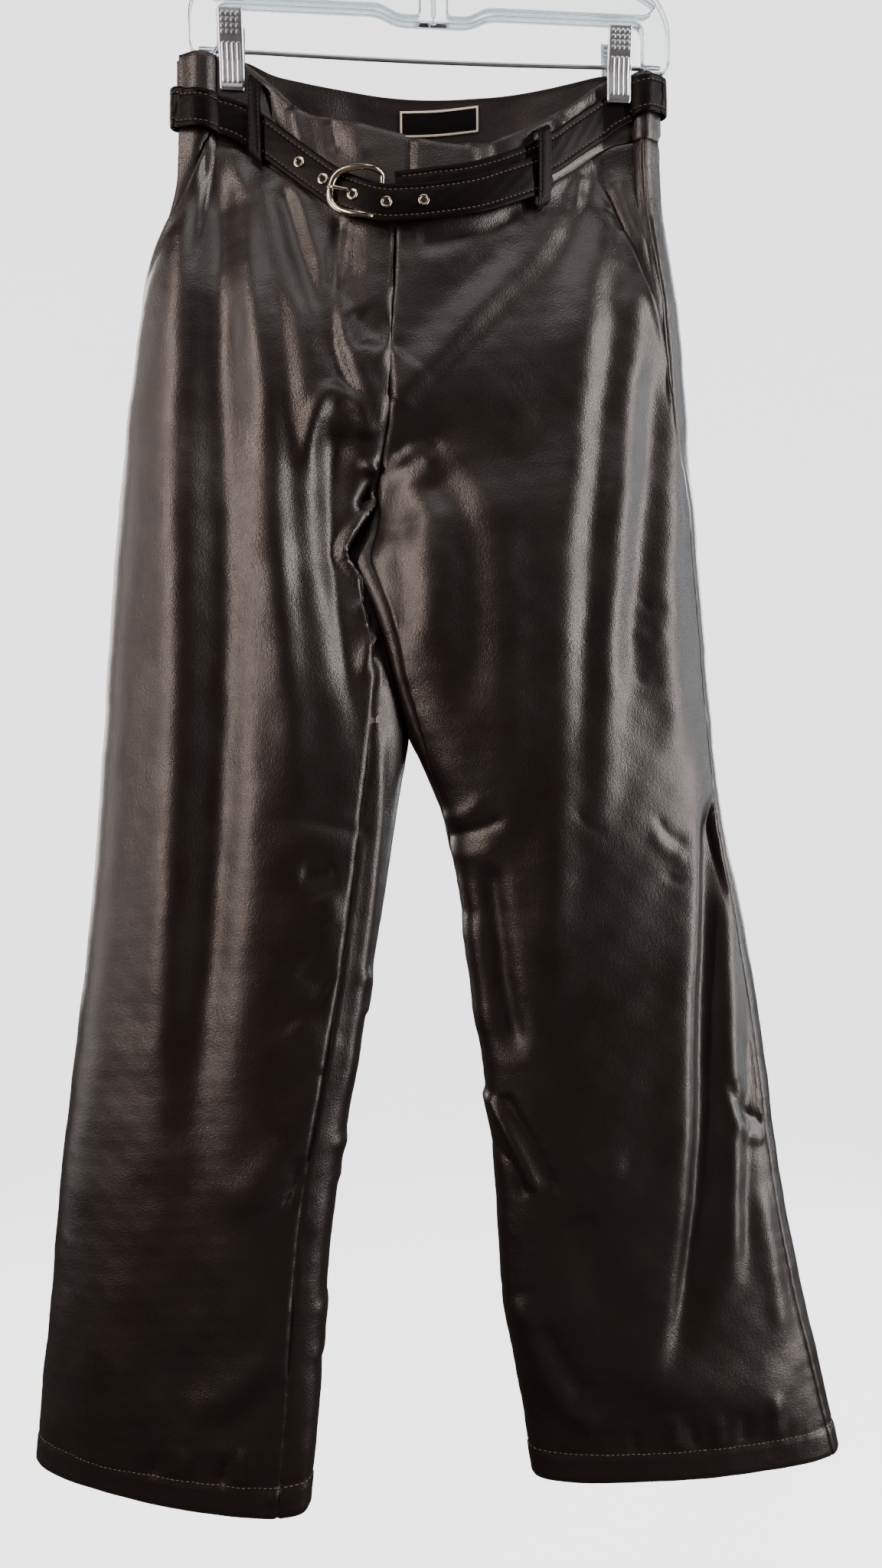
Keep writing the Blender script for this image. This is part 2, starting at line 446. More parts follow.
        Crease(-2, 5, (10, 4), [(160, -1196), (162, -1222)]),
        Crease(2, 6, (12, 4), [(212, -1190), (216, -1222)]),
    ],
}
BAND_CREASES = {
    "front": [
        Crease(2, 3, (5, 8), [(-133, -162), (-128, -185), (-122, -205)], 0.3, 1.7),
        Crease(-2, 4, (5, 8), [(-126, -168), (-120, -190), (-112, -210)], crest=1.9),
        Crease(2, 6, (6, 8), [(-104, -185), (-98, -215), (-96, -235)]),
        Crease(-1.6, 5, (6, 10), [(-78, -195), (-72, -225)]),
        Crease(1.6, 7, (6, 10), [(-60, -200), (-54, -230)]),
        Crease(1.8, 6, (6, 8), [(20, -214), (26, -240)]),
        Crease(-1.6, 6, (6, 8), [(40, -208), (46, -232)]),
        Crease(1.6, 5, (6, 8), [(92, -184), (98, -208)]),
        Crease(-1.4, 4, (6, 8), [(112, -172), (118, -196)]),
    ],
    "back": [
        Crease(0.7, 9, (8, 10), [(-110, -160), (-104, -190)]),
        Crease(-0.7, 9, (8, 10), [(-84, -160), (-80, -192)]),
        Crease(0.6, 8, (8, 10), [(-62, -162), (-58, -190)]),
        Crease(0.6, 9, (8, 10), [(56, -160), (62, -190)]),
        Crease(-0.7, 9, (8, 10), [(80, -158), (86, -190)]),
        Crease(0.7, 8, (8, 10), [(106, -156), (112, -184)]),
    ],
}
# The fly's stitched J, in millimetres of x and z, from the belt down and round to the front seam.
FLY_STITCH_PATH = [(-61, -262), (-64, -300), (-69, -345), (-68.5, -378), (-62, -394), (-52, -401),
                   (-40, -402)]

# --- hanger ---------------------------------------------------------------------------------------
BAR_Z = -0.1425
BAR_RADIUS = 0.0015
EDGE_BEAD = 0.0008  # the rounded bead along each edge of the clear moulding
SHARP_DEGREES = 40
BAR_BOW, BAR_BOW_REACH, BAR_REACH = 0.0015, 0.13, 0.1715
HOOK_WIRE = 0.0018
HOOK_INSIDE = 0.021
STEM_FOOT_Z = -0.1140
CLIP_TOP_Z, CLIP_FOOT_Z = -0.1190, -0.1710
CLIP_SHEET = 0.0011
CLIP_JAW = 0.020
EAR_PAST_BAR = 0.0030
EAR_ROOT_HALF, EAR_END_HALF = 0.0062, 0.0035
SPRING_WIRE, SPRING_TURNS = 0.0010, 5
CLIP_OPENING = 0.0125
CLIP_BUMP, CLIP_RIB, CLIP_PITCH = 0.00058, 0.00060, 0.0036  # the pressed pattern
CLIP_GRIP = BAND_THICKNESS + 0.0007
CLIP_OVER_BELT = BELT_THICKNESS + 0.0022

# --- label ----------------------------------------------------------------------------------------
LABEL_WIDTH, LABEL_HEIGHT, LABEL_THICKNESS, LABEL_BORDER = 0.060, 0.0185, 0.0008, 0.0015
LABEL_X, LABEL_DOWN, LABEL_TILT = 0.006, 0.15, 0.075


# --- small helpers --------------------------------------------------------------------------------


def smooth_step(value, low, high):
    share = np.clip((value - low) / (high - low), 0.0, 1.0)
    return share * share * (3 - 2 * share)


def ridge(away, width):
    """The share of its height that a soft ridge or groove has, away from its middle."""
    return np.exp(-((away / width) ** 2))


def spot(x, y, z):
    """Points from their three coordinates, each a number or an array."""
    return np.stack(np.broadcast_arrays(x, y, z), axis=-1).astype(float)


def unit(vectors):
    length = np.linalg.norm(vectors, axis=-1, keepdims=True)
    return vectors / np.maximum(length, 1e-12)


def turned(x_way, y_way, z_way):
    """The turn that brings the three axes to these ways."""
    return Matrix((x_way, y_way, z_way)).transposed().to_4x4()


def running_length(points):
    steps = np.linalg.norm(np.diff(points, axis=0), axis=1)
    return np.concatenate([[0.0], np.cumsum(steps)])


def on_curve(places, values, slopes, where):
    """Values on the smooth curve through the given ones, which stand at rising places."""
    i = np.clip(np.searchsorted(places, where) - 1, 0, len(places) - 2)
    step = places[i + 1] - places[i]
    s = (where - places[i]) / step
    if values.ndim > 1:
        step, s = step[:, None], s[:, None]
    return ((2 * s**3 - 3 * s**2 + 1) * values[i] + (s**3 - 2 * s**2 + s) * step * slopes[i]
            + (3 * s**2 - 2 * s**3) * values[i + 1] + (s**3 - s**2) * step * slopes[i + 1])


def column(rows, name, where, key="z"):
    """The named column of a section table, on a smooth curve through its rows."""
    places = np.array([getattr(row, key) for row in rows])
    values = np.array([getattr(row, name) for row in rows], dtype=float)
    if places[0] > places[-1]:
        places, values = places[::-1], values[::-1]
    where = np.clip(where, places[0], places[-1])
    return on_curve(places, values, np.gradient(values, places), where)


def smooth_path(points, count):
    """Close points on a smooth curve through the path's points, in metres."""
    path = np.array(points, dtype=float) / 1000
    places = running_length(path)
    if len(path) > 2:
        slopes = np.gradient(path, places, axis=0)
    else:
        slopes = np.repeat((path[1:] - path[:1]) / places[-1], 2, axis=0)
    return on_curve(places, path, slopes, np.linspace(0, places[-1], count))


def fold_heights(creases, x, z):
    """How far the folds together move each point outwards, in metres."""
    total = np.zeros(x.shape)
    for crease in creases:
        broad = crease.width > BROAD_FOLD
        path = smooth_path(crease.path, 8 + 4 * len(crease.path))
        width = crease.width / 1000 * (BROAD_WIDER if broad else 1.0)
        reach = FOLD_REACH * width
        low, high = path.min(axis=0) - reach, path.max(axis=0) + reach
        near = (x > low[0]) & (x < high[0]) & (z > low[1]) & (z < high[1])
        if not near.any():
            continue
        px, pz = x[near][:, None], z[near][:, None]
        ax, az = path[:-1, 0], path[:-1, 1]
        dx, dz = np.diff(path[:, 0]), np.diff(path[:, 1])
        size = np.hypot(dx, dz)
        share = np.clip(((px - ax) * dx + (pz - az) * dz) / size**2, 0.0, 1.0)
        away = np.hypot(px - ax - share * dx, pz - az - share * dz)
        i = np.argmin(away, axis=1)
        row = np.arange(len(i))
        away, share = away[row, i], share[row, i]
        aside = dx[i] * (pz[:, 0] - az[i]) - dz[i] * (px[:, 0] - ax[i])
        wide = width * np.where(aside > 0, 1 - crease.lean, 1 + crease.lean)
        along = np.concatenate([[0.0], np.cumsum(size)])
        here = along[i] + share * size[i]
        fade = smooth_step(here, -END_EASE, crease.ends[0] / 1000)
        fade *= smooth_step(along[-1] - here, -END_EASE, crease.ends[1] / 1000)
        scale = BROAD_LOWER if broad else NARROW_HIGHER
        total[near] += scale * crease.height / 1000 * fade * np.exp(
            -((away / wide) ** crease.crest))
    return total


def unevenness(x, z):
    """The faint unevenness of soft leather, the same each time."""
    total = 0.0
    for turn, size, length in UNEVEN_WAVES:
        way = x * math.cos(turn) + z * math.sin(turn)
        bent = 0.35 * np.sin(way * 31 + turn * 9)
        total = total + size * np.sin(2 * math.pi * way / length + 5 * turn + bent)
    return total / 1000


def seam_puckers(along, away, reach=0.012):
    """Short ridges that run from a seam, as the thread draws it in."""
    rhythm = (np.sin(along / 0.0026 + 2.1 * np.sin(along / 0.021))
              + 0.7 * np.sin(along / 0.0051 + 1.3) + 0.6 * np.sin(along / 0.0117 + 0.4))
    return PUCKER_HEIGHT * rhythm * np.exp(-away / reach)


def mesh_from(bm, name, smooth=True):
    mesh = bpy.data.meshes.new(name)
    bm.to_mesh(mesh)
    bm.free()
    if smooth:
        mesh.shade_smooth()
    return mesh


def laid_grid(name, columns, rows, point_at, outward, uv_name=None):
    """A grid whose point at u and v, each from 0 to 1, is point_at(u, v), facing outward."""
    bm = bmesh.new()
    bmesh.ops.create_grid(bm, x_segments=columns, y_segments=rows, size=0.5)
    mesh = mesh_from(bm, name)
    flat = np.empty(len(mesh.vertices) * 3)
    mesh.vertices.foreach_get("co", flat)
    u, v = np.clip(flat[0::3] + 0.5, 0, 1), np.clip(0.5 - flat[1::3], 0, 1)
    mesh.vertices.foreach_set("co", point_at(u, v).ravel())
    mesh.update()
    if uv_name:
        corners = np.empty(len(mesh.loops), dtype=np.int32)
        mesh.loops.foreach_get("vertex_index", corners)
        layer = mesh.uv_layers.new(name=uv_name)
        layer.uv.foreach_set("vector", np.stack([u[corners], v[corners]], axis=1).ravel())
    normals, centres = np.empty((2, len(mesh.polygons) * 3))
    mesh.polygons.foreach_get("normal", normals)
    mesh.polygons.foreach_get("center", centres)
    if (normals.reshape(-1, 3) * outward(centres.reshape(-1, 3))).sum() < 0:
        mesh.flip_normals()
    return mesh


def away_from_middle(points):
    return spot(0.0, np.where(points[:, 1] < 0, -1.0, 1.0), 0.0)


def add_object(name, data):
    thing = bpy.data.objects.new(name, data)
    bpy.context.scene.collection.objects.link(thing)
    return thing


def place(name, data, look, replaced=()):
    """A finished piece in the scene, with its material, riding on the only body."""
    data.materials.append(bpy.data.materials[look])
    thing = add_object(name, data)
    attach(thing, "root")
    if replaced:
        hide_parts(*replaced)
    return thing


def soften_edges(thing, width, segments, degrees):
    edge = thing.modifiers.new("soft edge", "BEVEL")
    edge.width = width
    edge.segments = segments
    edge.limit_method = "ANGLE"
    edge.angle_limit = math.radians(degrees)


def add_wall(thing, thickness, bevel):
    """A wall of this thickness behind the face that was laid, with its edges softened."""
    wall = thing.modifiers.new("wall", "SOLIDIFY")
    wall.thickness = thickness
    wall.offset = 1.0
    if bevel:
        soften_edges(thing, bevel, 2, 55)


def lay_leather(name, columns, rows, point_at, thickness, bevel=0.0004, look="trouser_leather"):
    """A leather piece: the face that point_at gives, with its wall."""
    thing = place(f"{name}_leather", laid_grid(name, columns, rows, point_at, away_from_middle),
                  look, [name])
    add_wall(thing, thickness, bevel)
    return thing


# --- the trousers' sections -----------------------------------------------------------------------


def waist_angle_at(x, face="front"):
    """The angle round the waistband at x: 180 degrees at the left end, 0 at the right end,
    positive over the front and negative over the back."""
    reach = (x - (WAIST_LEFT + WAIST_RIGHT) / 2) / ((WAIST_RIGHT - WAIST_LEFT) / 2)
    angle = np.arccos(np.clip(reach, -1.0, 1.0))
    return angle if face == "front" else -angle


def waist_depth(x, bulge):
    """How far the inside of the waistband stands from the middle at x."""
    flat = CLIP_WIDTH + 2 * FLAT_BEYOND_CLIP
    bite_left, bite_right = CLIP_X["left"] + flat / 2, CLIP_X["right"] - flat / 2
    pinch = SEAM_GAP / 2
    share = (2 * x - bite_left - bite_right) / (bite_right - bite_left)
    between = pinch + bulge * np.clip(1 - share * share, 0, 1) ** 1.35
    start = np.where(x < 0, bite_left - flat, bite_right + flat)
    end = np.where(x < 0, WAIST_LEFT, WAIST_RIGHT)
    share = np.clip((x - start) / (end - start), 0.0, 1.0)
    swell = CORNER_BULGE * np.sin(math.pi * share**0.8)
    beyond = (pinch + swell) * np.sqrt(np.clip(1 - share**3, 0, 1))
    return np.where((x > bite_left) & (x < bite_right), between, beyond)


def waist_point(angle, down):
    """On the inside of the waistband, down from 0 at its upper edge to 1 at the waist seam."""
    front = np.sin(angle) >= 0
    x = (WAIST_LEFT + WAIST_RIGHT) / 2 + (WAIST_RIGHT - WAIST_LEFT) / 2 * np.cos(angle)
    top = np.where(front, column(WAIST_ROWS, "front_top", x, key="x"),
                   column(WAIST_ROWS, "back_top", x, key="x"))
    bulge = np.where(front, WAIST_FRONT, WAIST_BACK) + BAND_FLARE * down
    depth = waist_depth(x, bulge)
    return spot(x * (1 + BAND_SPREAD * down), np.where(front, -depth, depth),
                top - BAND_HEIGHT * down)


def waist_outward(angle):
    step = 0.02
    along = waist_point(angle + step, 1.0) - waist_point(angle - step, 1.0)
    return unit(spot(-along[..., 1], along[..., 0], 0.0))


def on_waist(angle, down, off):
    """Points that stand off the waistband's outer face."""
    return waist_point(angle, down) + waist_outward(angle) * (BAND_THICKNESS + np.asarray(off))[
        ..., None]


def hip_point(side, angle, z):
    """On the hips' section: angle 0 at this side's silhouette, 90 in front, 180 at the other."""
    left, right = column(HIP_ROWS, "left", z), column(HIP_ROWS, "right", z)
    outwards = -1 if side == "left" else 1
    depth = np.where(np.sin(angle) > 0, -column(HIP_ROWS, "front", z), column(HIP_ROWS, "back", z))
    return spot((left + right) / 2 + outwards * (right - left) / 2 * np.cos(angle),
                depth * np.abs(np.sin(angle)) ** 0.9, z)


def leg_point(side, angle, z):
    """On a leg's section: angle 0 at its outer edge, 90 in front, 180 at its inner edge."""
    rows = LEG_ROWS[side]
    outer = spot(column(rows, "outer_x", z), column(rows, "outer_y", z), z)
    # the legs touch below the crotch, where their sections reach past each other
    touching = 0.009 * smooth_step(-z, 0.460, 0.490) * (1 - smooth_step(-z, 0.590, 0.660))
    reach = column(INNER_ROWS, side, z) + (touching if side == "left" else -touching)
    inner = spot(reach, column(rows, "inner_y", z), z)
    along = (outer - inner) / 2
    across = unit(spot(along[..., 1], -along[..., 0], 0.0))
    across = np.where(across[..., 1:2] > 0, -across, across)
    depth = np.where(np.sin(angle) > 0, column(rows, "front", z), -column(rows, "back", z))
    return ((outer + inner) / 2 + along * np.cos(angle)[..., None]
            + across * (depth * np.abs(np.sin(angle)) ** 0.85)[..., None])


def seam_angles(side, face, z):
    """The angles at which a panel starts, at the side seam, and ends: at the middle seam on the
    hips' section, and at the inseam on the leg's."""
    rows = LEG_ROWS[side]
    start = np.radians(column(rows, "side_seam", z))
    inseam = np.radians(column(rows, "inseam", z))
    left, right = column(HIP_ROWS, "left", z), column(HIP_ROWS, "right", z)
    seam_x = column(HIP_ROWS, face + "_seam", z)
    reach = (seam_x - (left + right) / 2) / ((right - left) / 2)
    middle = np.arccos(-reach if side == "left" else reach)
    if face == "back":
        return start, -middle, inseam - 2 * math.pi
    return start, middle, inseam


def inner_edge(side, face, z):
    """The seam at the inner edge of a panel: the middle seam, then the inseam of its leg."""
    _, middle, inseam = seam_angles(side, face, z)
    on_hips = hip_point(side, middle, z)
    turn = smooth_step(z, CROTCH.z, CROTCH.z + 0.075)
    above = spot(on_hips[..., 0] * turn + CROTCH.x * (1 - turn),
                 on_hips[..., 1] * turn + CROTCH.y * (1 - turn), z)
    away = smooth_step(-z, -CROTCH.z, -CROTCH.z + 0.09)[..., None]
    below = leg_point(side, inseam, z) * away + spot(CROTCH.x, CROTCH.y, z) * (1 - away)
    return np.where((z > CROTCH.z)[..., None], above, below)


def side_limit(side, face, z):
    """How far towards the other side a side's cloth may reach at this level."""
    between = (column(INNER_ROWS, "left", z) + column(INNER_ROWS, "right", z)) / 2
    limit = np.where(z > CROTCH.z, inner_edge(side, face, z)[..., 0], between)
    clear = PANEL_THICKNESS * smooth_step(-z, -CROTCH.z, -CROTCH.z + 0.03)
    return limit - clear if side == "left" else limit + clear


def cloth_point(side, face, u, z):
    """On a side's front or back cloth at a level: u is 0 at the side seam, 1 at the inner one."""
    leg_share = (1 - smooth_step(z, -0.486, -0.400))[..., None]
    start, middle, inseam = seam_angles(side, face, z)
    on_hips = hip_point(side, start + (middle - start) * u, z)
    on_leg = leg_point(side, start + (inseam - start) * u, z)
    point = on_hips * (1 - leg_share) + on_leg * leg_share
    at_seam = hip_point(side, middle, z) * (1 - leg_share) + leg_point(side, inseam, z) * leg_share
    return point + (inner_edge(side, face, z) - at_seam) * (u**4)[..., None]


def panel_point(side, face, u, row):
    """On a panel, on one of its rows: they run from the waist seam down to the crotch, and from
    there, level, down to the hem."""
    start, middle, _ = seam_angles(side, face, np.float64(TOP_LEVEL))
    angle = start + (middle - start) * u
    top = waist_point(math.pi - angle if side == "left" else angle, np.float64(1.0))
    top[..., 2] -= WAIST_SEAM_GAP
    hips = top[..., 2] + (CROTCH.z - top[..., 2]) * row / HIP_PANEL_ROWS
    legs = CROTCH.z + (HEM_Z - CROTCH.z) * (row - HIP_PANEL_ROWS) / LEG_PANEL_ROWS
    z = np.where(row < HIP_PANEL_ROWS, hips, legs)
    point = cloth_point(side, face, u, np.minimum(z, TOP_LEVEL))
    held = 1 - smooth_step(top[..., 2] - z, 0.0, WAIST_FADE)
    point[..., 0] += (top[..., 0] - point[..., 0]) * held
    point[..., 1] += (top[..., 1] - point[..., 1]) * held
    point[..., 2] = z
    limit = side_limit(side, face, z)
    if side == "left":
        point[..., 0] = np.minimum(point[..., 0], limit)
    else:
        point[..., 0] = np.maximum(point[..., 0], limit)
    return point


def mouth_share(side, row):
    """How far in from the side seam the front panel starts at a row."""
    down = row / MOUTH_FOOT_ROW
    slant = MOUTH_TOP_SHARE[side] * (1 - down) + MOUTH_FOOT_SHARE * down
    return np.where(row <= MOUTH_FOOT_ROW, slant,
                    MOUTH_FOOT_SHARE * np.clip(1 - (row - MOUTH_FOOT_ROW), 0, 1))


# --- cloth ----------------------------------------------------------------------------------------


def cloth_normal(side, face, u, row):
    step = 0.008
    across = panel_point(side, face, u + step, row) - panel_point(side, face, u - step, row)
    down = panel_point(side, face, u, row + 0.25) - panel_point(side, face, u, row - 0.25)
    normal = np.cross(across, down)
    outward = (side == "left") == (face == "back")
    return unit(normal if outward else -normal)


def cloth_face(side, face, u, row, part="panel", off=0.0):
    """Points that stand off the cloth's inner face, with all its folds, seams and hem."""
    point = panel_point(side, face, u, row)
    normal = cloth_normal(side, face, u, row)
    x, z = point[..., 0], point[..., 2]
    span = CLOTH_SPREAD * np.abs(column(LEG_ROWS[side], "outer_x", z) - column(INNER_ROWS, side, z))
    at_side, at_inner = u * span, (1 - u) * span
    below_waist = row * HIP_ROW_HEIGHT
    edge = smooth_step(at_side, 0.0, 0.009) * smooth_step(at_inner, 0.0, 0.004)
    edge *= smooth_step(below_waist, -0.002, 0.018)
    # below the crotch the two legs press flat against each other
    pressed = smooth_step(-z, 0.430, 0.450) * (1 - smooth_step(-z, 0.640, 0.670))
    pressed *= 1 - smooth_step(np.abs(side_limit(side, face, z) - x), 0.001, 0.006)
    height = (fold_heights(CREASES[side, face], x, z) + unevenness(x, z)) * edge
    height = height * (1 - pressed) + 0.0006 * pressed
    for away, seam in ((at_side, SIDE_SEAM), (at_inner, INNER_SEAM)):
        height -= seam.groove * ridge(away, seam.width)
        height += seam.lip * ridge(away - SEAM_LIP_AT, SEAM_LIP_WIDTH)
    height += seam_puckers(z, at_side)
    height += seam_puckers(z + 0.37, at_inner)
    height -= WAIST_SEAM.groove * ridge(below_waist, WAIST_SEAM.width)
    if face == "front":
        mouth = (u - mouth_share(side, row)) * span
        open_here = 1 - smooth_step(row, MOUTH_FOOT_ROW - 0.9, MOUTH_FOOT_ROW)
        open_here *= smooth_step(row, 0.1, 1.2)
        if part == "panel":
            lip = 0.0024 * ridge(mouth, 0.011) - 0.0009 * ridge(mouth, 0.0012)
        else:
            lip = -0.0022 * ridge(mouth, 0.014)
        height += lip * open_here
    if face == "front" and side == "left":
        path = smooth_path(FLY_STITCH_PATH, 40)
        away = np.full(x.shape, 1.0)
        near = (x > FLY_FROM_X) & (z > FLY_FOOT_Z)
        away[near] = np.min(np.hypot(x[near][:, None] - path[:, 0], z[near][:, None] - path[:, 1]),
                            axis=1)
        height -= FLY_SEAM.groove * ridge(away, FLY_SEAM.width)
        height += seam_puckers(z, away, 0.005) * near
    from_hem = z - HEM_Z
    height += HEM_STEP * smooth_step(HEM_DEPTH + 0.0012 - from_hem, 0.0, 0.0022)
    height -= HEM_SEAM.groove * ridge(from_hem - HEM_DEPTH, HEM_SEAM.width)
    height += seam_puckers(x * 1.3, np.abs(from_hem - HEM_DEPTH), 0.009) * edge
    height -= HEM_TURN * np.clip(1 - from_hem / 0.0030, 0.0, 1.0) ** 2
    return point + normal * (height + off)[..., None], normal


def make_panel(side, face, columns, rows):

    def point_at(u, v):
        row = v * PANEL_ROWS
        start = mouth_share(side, row) if face == "front" else 0.0
        return cloth_face(side, face, start + 0.0006 + (1 - start - 0.0009) * u, row)[0]

    lay_leather(f"{face}_panel_{side}", columns, rows, point_at, PANEL_THICKNESS)


def make_pocket_side(side):

    def point_at(u, v):
        row = v * (MOUTH_FOOT_ROW + 0.7)
        share = mouth_share(side, row) + 0.022 * (1 - smooth_step(row, 4.2, 5.4))
        return cloth_face(side, "front", 0.0006 + (share - 0.0012) * u, row, "pocket",
                          -PANEL_THICKNESS * 1.6 * smooth_step(u, 0.55, 1.0)
                          * (1 - smooth_step(row, 4.6, 5.4)))[0]

    lay_leather(f"pocket_side_{side}", 44, 90, point_at, PANEL_THICKNESS)


def band_face(name, angle, down):
    """Points off the waistband's inner face, with its folds and puckers."""
    point = waist_point(angle, down)
    x, z = point[..., 0], point[..., 2]
    face = "back" if name == "waistband_back" else "front"
    height = fold_heights(BAND_CREASES[face], x, z) + 0.6 * unevenness(x, z)
    # the clips hold the band flat
    height *= (smooth_step(x, CLIP_X["left"] + 0.011, CLIP_X["left"] + 0.022)
               * (1 - smooth_step(x, CLIP_X["right"] - 0.022, CLIP_X["right"] - 0.011)))
    height -= 0.0010 * smooth_step(down, 0.93, 1.0)
    height -= 0.0005 * (1 - smooth_step(down, 0.0, 0.05))
    if name == "waistband_front_right":
        sunk = smooth_step(-x, -LAP_X - LAP_RAMP, -LAP_X - 0.001)
        height -= (BAND_THICKNESS + 2 * REST) * sunk
    return point + waist_outward(angle) * height[..., None]


def make_band(name, start, end, columns):
    """A length of waistband between two angles, in degrees."""

    def point_at(u, v):
        return band_face(name, np.radians(start + (end - start) * u), v)

    lay_leather(name, columns, 30, point_at, BAND_THICKNESS, 0.0007)


def stitch_row(name, points, outs, look, length=0.0030, gap=0.0012, width=0.00034):
    """A row of stitches along close points: small bright beads of thread that lie in the cloth."""
    places = running_length(points)
    ways = unit(np.gradient(points, axis=0))
    bm = bmesh.new()
    for middle in np.arange(length / 2, places[-1] - length / 2, length + gap):
        at, along, out = [
            Vector([np.interp(middle, places, field[:, k]) for k in range(3)])
            for field in (points, ways, outs)
        ]
        along, out = along.normalized(), out.normalized()
        out = (out - along * out.dot(along)).normalized()
        turn = turned(along * (length / 2), out.cross(along) * width, out * width)
        bmesh.ops.create_uvsphere(
            bm, u_segments=6, v_segments=4, radius=1.0,
            matrix=Matrix.Translation(at + out * STITCH_RISE) @ turn @ Matrix.Rotation(
                math.pi / 2, 4, "Y"),
        )
    place(name, mesh_from(bm, name), look)


def make_cloth_stitches():
    for side in ("left", "right"):
        for face in ("front", "back"):
            u = np.linspace(0.003, 0.997, 700)
            row = np.full(u.shape, PANEL_ROWS - HEM_DEPTH / (CROTCH.z - HEM_Z) * LEG_PANEL_ROWS)
            points, outs = cloth_face(side, face, u, row, off=PANEL_THICKNESS)
            stitch_row(f"hem_stitches_{face}_{side}", points, outs, "hem_thread")
    path = smooth_path(FLY_STITCH_PATH, 160)
    points, outs = on_front_cloth("left", path[:, 0], path[:, 1])
    stitch_row("fly_stitches", points, outs, "dark_thread", 0.0026, 0.0013, 0.0004)


def on_front_cloth(side, x, z):
    """Points of the front cloth's outer face at x and height, found step by step."""
    u, row = np.full(x.shape, 0.9), HIP_PANEL_ROWS * (z - WAIST_SEAM_Z) / (CROTCH.z - WAIST_SEAM_Z)
    for _ in range(30):
        point = panel_point(side, "front", u, row)
        u = np.clip(u + 4.0 * (x - point[:, 0]) * (1 if side == "left" else -1), 0.01, 0.999)
        row = np.clip(row + (point[:, 2] - z) / HIP_ROW_HEIGHT, 0.01, HIP_PANEL_ROWS)
    return cloth_face(side, "front", u, row, off=PANEL_THICKNESS)


# --- belt -----------------------------------------------------------------------------------------


class BeltLine:
    """The belt's middle line as close steps."""

    def __init__(self):
        rows = []
        for row in BELT_ROWS:
            angle = float(waist_angle_at(row.x, row.face))
            while rows and angle < rows[-1].angle:
                angle += 2 * math.pi
            rows.append(BeltAngle(angle, row.z, row.off))
        self.angle = np.linspace(rows[0].angle, rows[-1].angle, BELT_SAMPLES)
        self.z = column(rows, "z", self.angle, key="angle")
        self.off = column(rows, "off", self.angle, key="angle")
        self.s = running_length(self.on_band(self.angle, self.z, self.off))

    @staticmethod
    def on_band(angle, z, off):
        down = (waist_point(angle, np.zeros_like(angle))[..., 2] - z) / BAND_HEIGHT
        point = on_waist(angle, np.clip(down, 0.0, 1.05), off)
        point[..., 2] = z
        return point

    def value(self, s, name):
        return np.interp(s, self.s, getattr(self, name))

    def point(self, s, across, out=0.0):
        """On the belt's outer face at a running length, across from its middle line, and out
        from the face."""
        s, across = np.broadcast_arrays(np.asarray(s, float), np.asarray(across, float))
        rise = self.value(s + BELT_STEP, "z") - self.value(s - BELT_STEP, "z")
        slope = np.arcsin(np.clip(rise / (2 * BELT_STEP), -1, 1))
        aside = s - across * np.sin(slope)
        z = self.value(s, "z") + across * np.cos(slope)
        return self.on_band(self.value(aside, "angle"), z, self.value(s, "off") + out)

    def place(self, s):
        """The middle of the outer face, the way along, the way across and the way out."""
        along = Vector(self.point(s + BELT_STEP, 0.0) - self.point(s - BELT_STEP, 0.0)).normalized()
        across = Vector(self.point(s, BELT_STEP) - self.point(s, -BELT_STEP))
        across = (across - along * across.dot(along)).normalized()
        return Vector(self.point(s, 0.0)), along, along.cross(across)

    def length_at(self, x, from_tip=True):
        angle = float(waist_angle_at(x)) + (0 if from_tip else 2 * math.pi)
        return float(np.interp(angle, self.angle, self.s))


def belt_section():
    """The strap's outline, across and out, from the middle of its outer face round: pillowed
    between its stitches, with softly rounded edges."""
    half, groove_at = BELT_WIDTH / 2, BELT_WIDTH / 2 - BINDING
    a = np.linspace(-half, half, 30)
    face = -BELT_GROOVE * ridge(np.abs(a) - groove_at, 0.0007)
    face += BELT_PILLOW * np.cos(np.clip(a / groove_at, -1, 1) * math.pi / 2)
    inset = np.clip((np.abs(a) - (half - BELT_ROUND)) / BELT_ROUND, 0, 1)
    face -= BELT_ROUND * (1 - np.sqrt(1 - np.clip(inset, 0, 0.999) ** 2))
    back = np.linspace(half - BELT_ROUND * 0.5, -half + BELT_ROUND * 0.5, 10)
    return np.concatenate([a, back]), np.concatenate([face, np.full(back.shape, -BELT_THICKNESS)])


def strap_mesh(name, across, out, lengths, place_at):
    """A closed strap: its outline carried along the lengths."""
    count, steps = len(across), len(lengths) - 1
    bm = bmesh.new()
    bmesh.ops.create_grid(bm, x_segments=count, y_segments=steps, size=0.5)
    bm.verts.ensure_lookup_table()
    co = np.array([v.co for v in bm.verts])
    i = np.rint((co[:, 0] + 0.5) * count).astype(int) % count
    j = np.rint((co[:, 1] + 0.5) * steps).astype(int)
    for vertex, point in zip(bm.verts, place_at(lengths[j], across[i], out[i])):
        vertex.co = point
    bmesh.ops.remove_doubles(bm, verts=bm.verts, dist=1e-7)
    bmesh.ops.holes_fill(bm, edges=[e for e in bm.edges if e.is_boundary], sides=0)
    bmesh.ops.recalc_face_normals(bm, faces=bm.faces)
    return mesh_from(bm, name)


